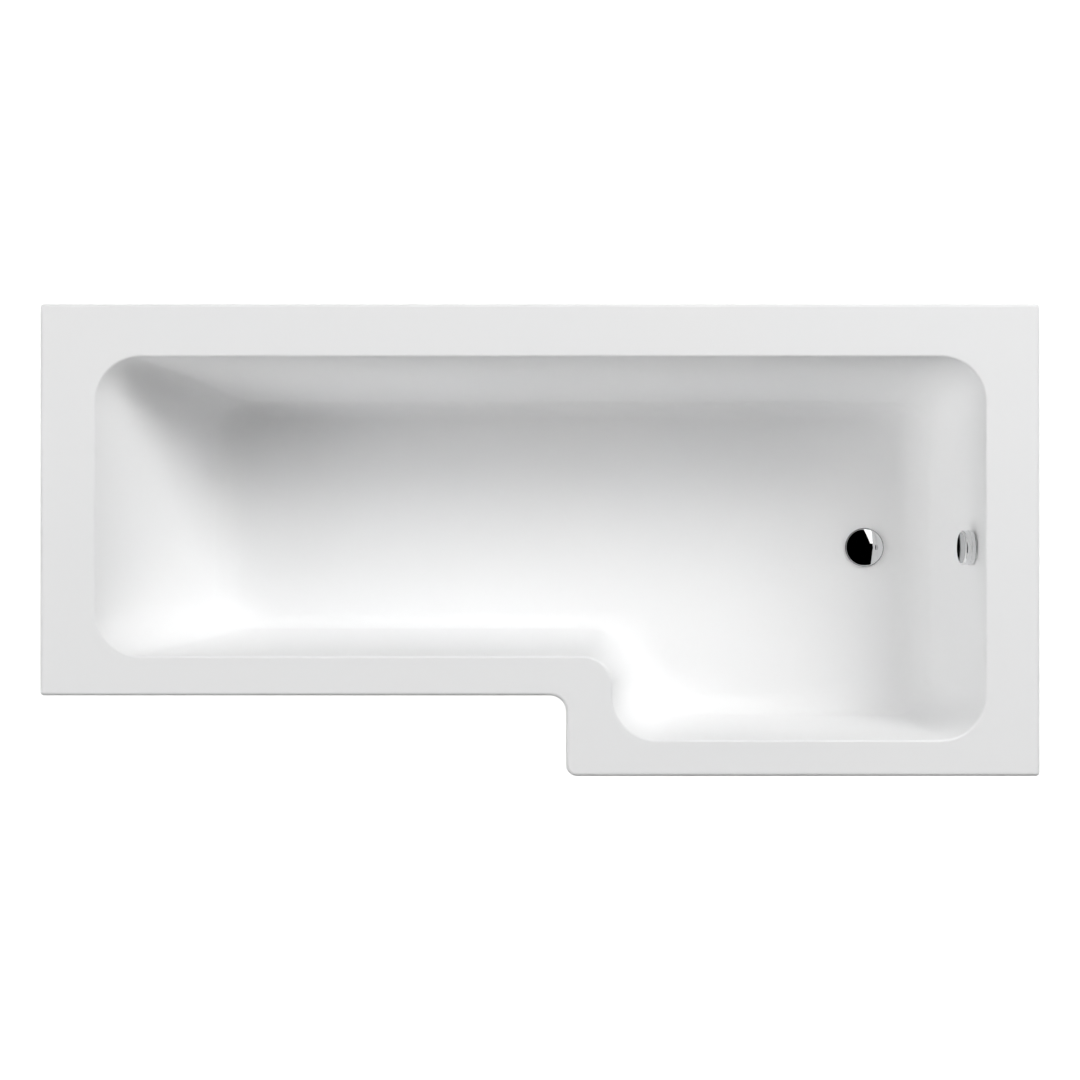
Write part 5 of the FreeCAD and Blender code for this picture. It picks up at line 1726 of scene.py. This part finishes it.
@dataclass
class Studio:
    """A plain pale floor, soft light mostly from the back and a camera straight above."""

    rim_height: float
    camera_rise: float = 8.0
    camera_reach: float = 100.0
    frame_width: float = 1.9437
    sensor: float = 36.0
    floor_size: float = 60.0
    floor_drop: float = 0.0005
    floor_glow: float = 0.8
    lamp_distance: float = 9.0
    lamp_size: float = 4.0

    def camera(self) -> None:
        """Looks straight down on the middle of the rim, with the back wall side at the top."""
        lens = bpy.data.cameras.new("view")
        lens.sensor_width = self.sensor
        lens.lens = self.sensor * self.camera_rise / self.frame_width
        lens.clip_end = self.camera_reach
        made = bpy.data.objects.new("view", lens)
        made.location = (0, 0, self.rim_height + self.camera_rise)
        bpy.context.scene.collection.objects.link(made)
        bpy.context.scene.camera = made

    def sheet(self, name: str, outline: Sequence[Spot], unseen: Sequence[str], **look: object) -> None:
        """A flat stage piece with a plain look.

        Args:
            name: The piece's name.
            outline: Its corners.
            unseen: The kinds of ray that pass it by.
            look: Values for its shader's sockets.
        """
        mesh = bpy.data.meshes.new(name)
        mesh.from_pydata(outline, [], [range(len(outline))])
        shader = Shader(name)
        shader.set(**look)
        made = mesh_object(name, mesh)
        mesh.materials.append(shader.material)
        for ray in unseen:
            setattr(made, f"visible_{ray}", False)

    def floor(self) -> None:
        """A pale floor that glows a little, so that it stays white around the tub."""
        half = self.floor_size / 2
        square = (-half, -half), (half, -half), (half, half), (-half, half)
        outline = overhead(*square, height=-self.floor_drop)
        self.sheet("pale_floor", outline, ("diffuse", "shadow"), Base_Color=(0.9, 0.9, 0.9, 1), Roughness=0.9,
                   Emission_Color=(1, 1, 1, 1), Emission_Strength=self.floor_glow)

    def card(self, card: Card) -> None:
        """One card, seen by mirror rays alone."""
        self.sheet(card.name, card.outline, ("camera", "diffuse", "shadow", "transmission"),
                   Base_Color=(0, 0, 0, 1), Roughness=1.0, Specular_IOR_Level=0.0,
                   Emission_Color=(1, 1, 1, 1), Emission_Strength=card.glow)

    def lamp(self, lamp: Lamp) -> None:
        """One soft light, aimed at the middle of the rim.

        Args:
            lamp: The light.
        """
        name = f"soft_light_{lamp.bearing}_{lamp.elevation}"
        light = bpy.data.lights.new(name, "AREA")
        light.size = self.lamp_size
        light.energy = lamp.power
        turn, rise = math.radians(lamp.bearing), math.radians(lamp.elevation)
        away = Vector((math.sin(turn) * math.cos(rise), math.cos(turn) * math.cos(rise), math.sin(rise)))
        made = bpy.data.objects.new(name, light)
        made.visible_glossy = lamp.elevation < 0
        made.location = Vector((0, 0, self.rim_height)) + away * self.lamp_distance
        made.rotation_euler = (-away).to_track_quat("-Z", "Y").to_euler()
        bpy.context.scene.collection.objects.link(made)

    def surroundings(self) -> None:
        """A dark room behind a white backdrop: only the camera sees the white."""
        world = bpy.data.worlds.new("studio_room")
        world.use_nodes = True
        room = NodeTree(world.node_tree)
        dark = room.tree.nodes["Background"]
        dark.inputs["Color"].default_value = (0, 0, 0, 1)
        white = room.node("ShaderNodeBackground", {"Color": (1, 1, 1, 1)})
        seen = room.node("ShaderNodeLightPath", {}, "Is Camera Ray")
        blend = room.node("ShaderNodeMixShader", {0: seen, 1: dark.outputs[0], 2: white})
        room.tree.links.new(blend, room.tree.nodes["World Output"].inputs["Surface"])
        bpy.context.scene.world = world

    def build(self) -> None:
        """Makes the camera, floor, lights, cards and surroundings."""
        bpy.context.scene.view_settings.view_transform = "Standard"
        self.camera()
        self.floor()
        self.surroundings()
        for lamp in LAMPS:
            self.lamp(lamp)
        for card in CARDS:
            self.card(card)


def main() -> None:
    """Builds the studio and every sub-assembly."""
    logging.basicConfig(level=logging.INFO, format="%(message)s")
    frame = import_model()
    nodes = frame["nodes"]
    tub = Tub()
    for assembly in (
        Studio(tub.rim_height), tub, Carcass(nodes), LegSet(nodes), PopUpWaste(nodes, tub.waste_frame),
        Overflow(nodes, tub.overflow_frame), HoseAndCable(tub.waste_frame, tub.overflow_frame),
    ):
        assembly.build()


if __name__ == "__main__":
    main()
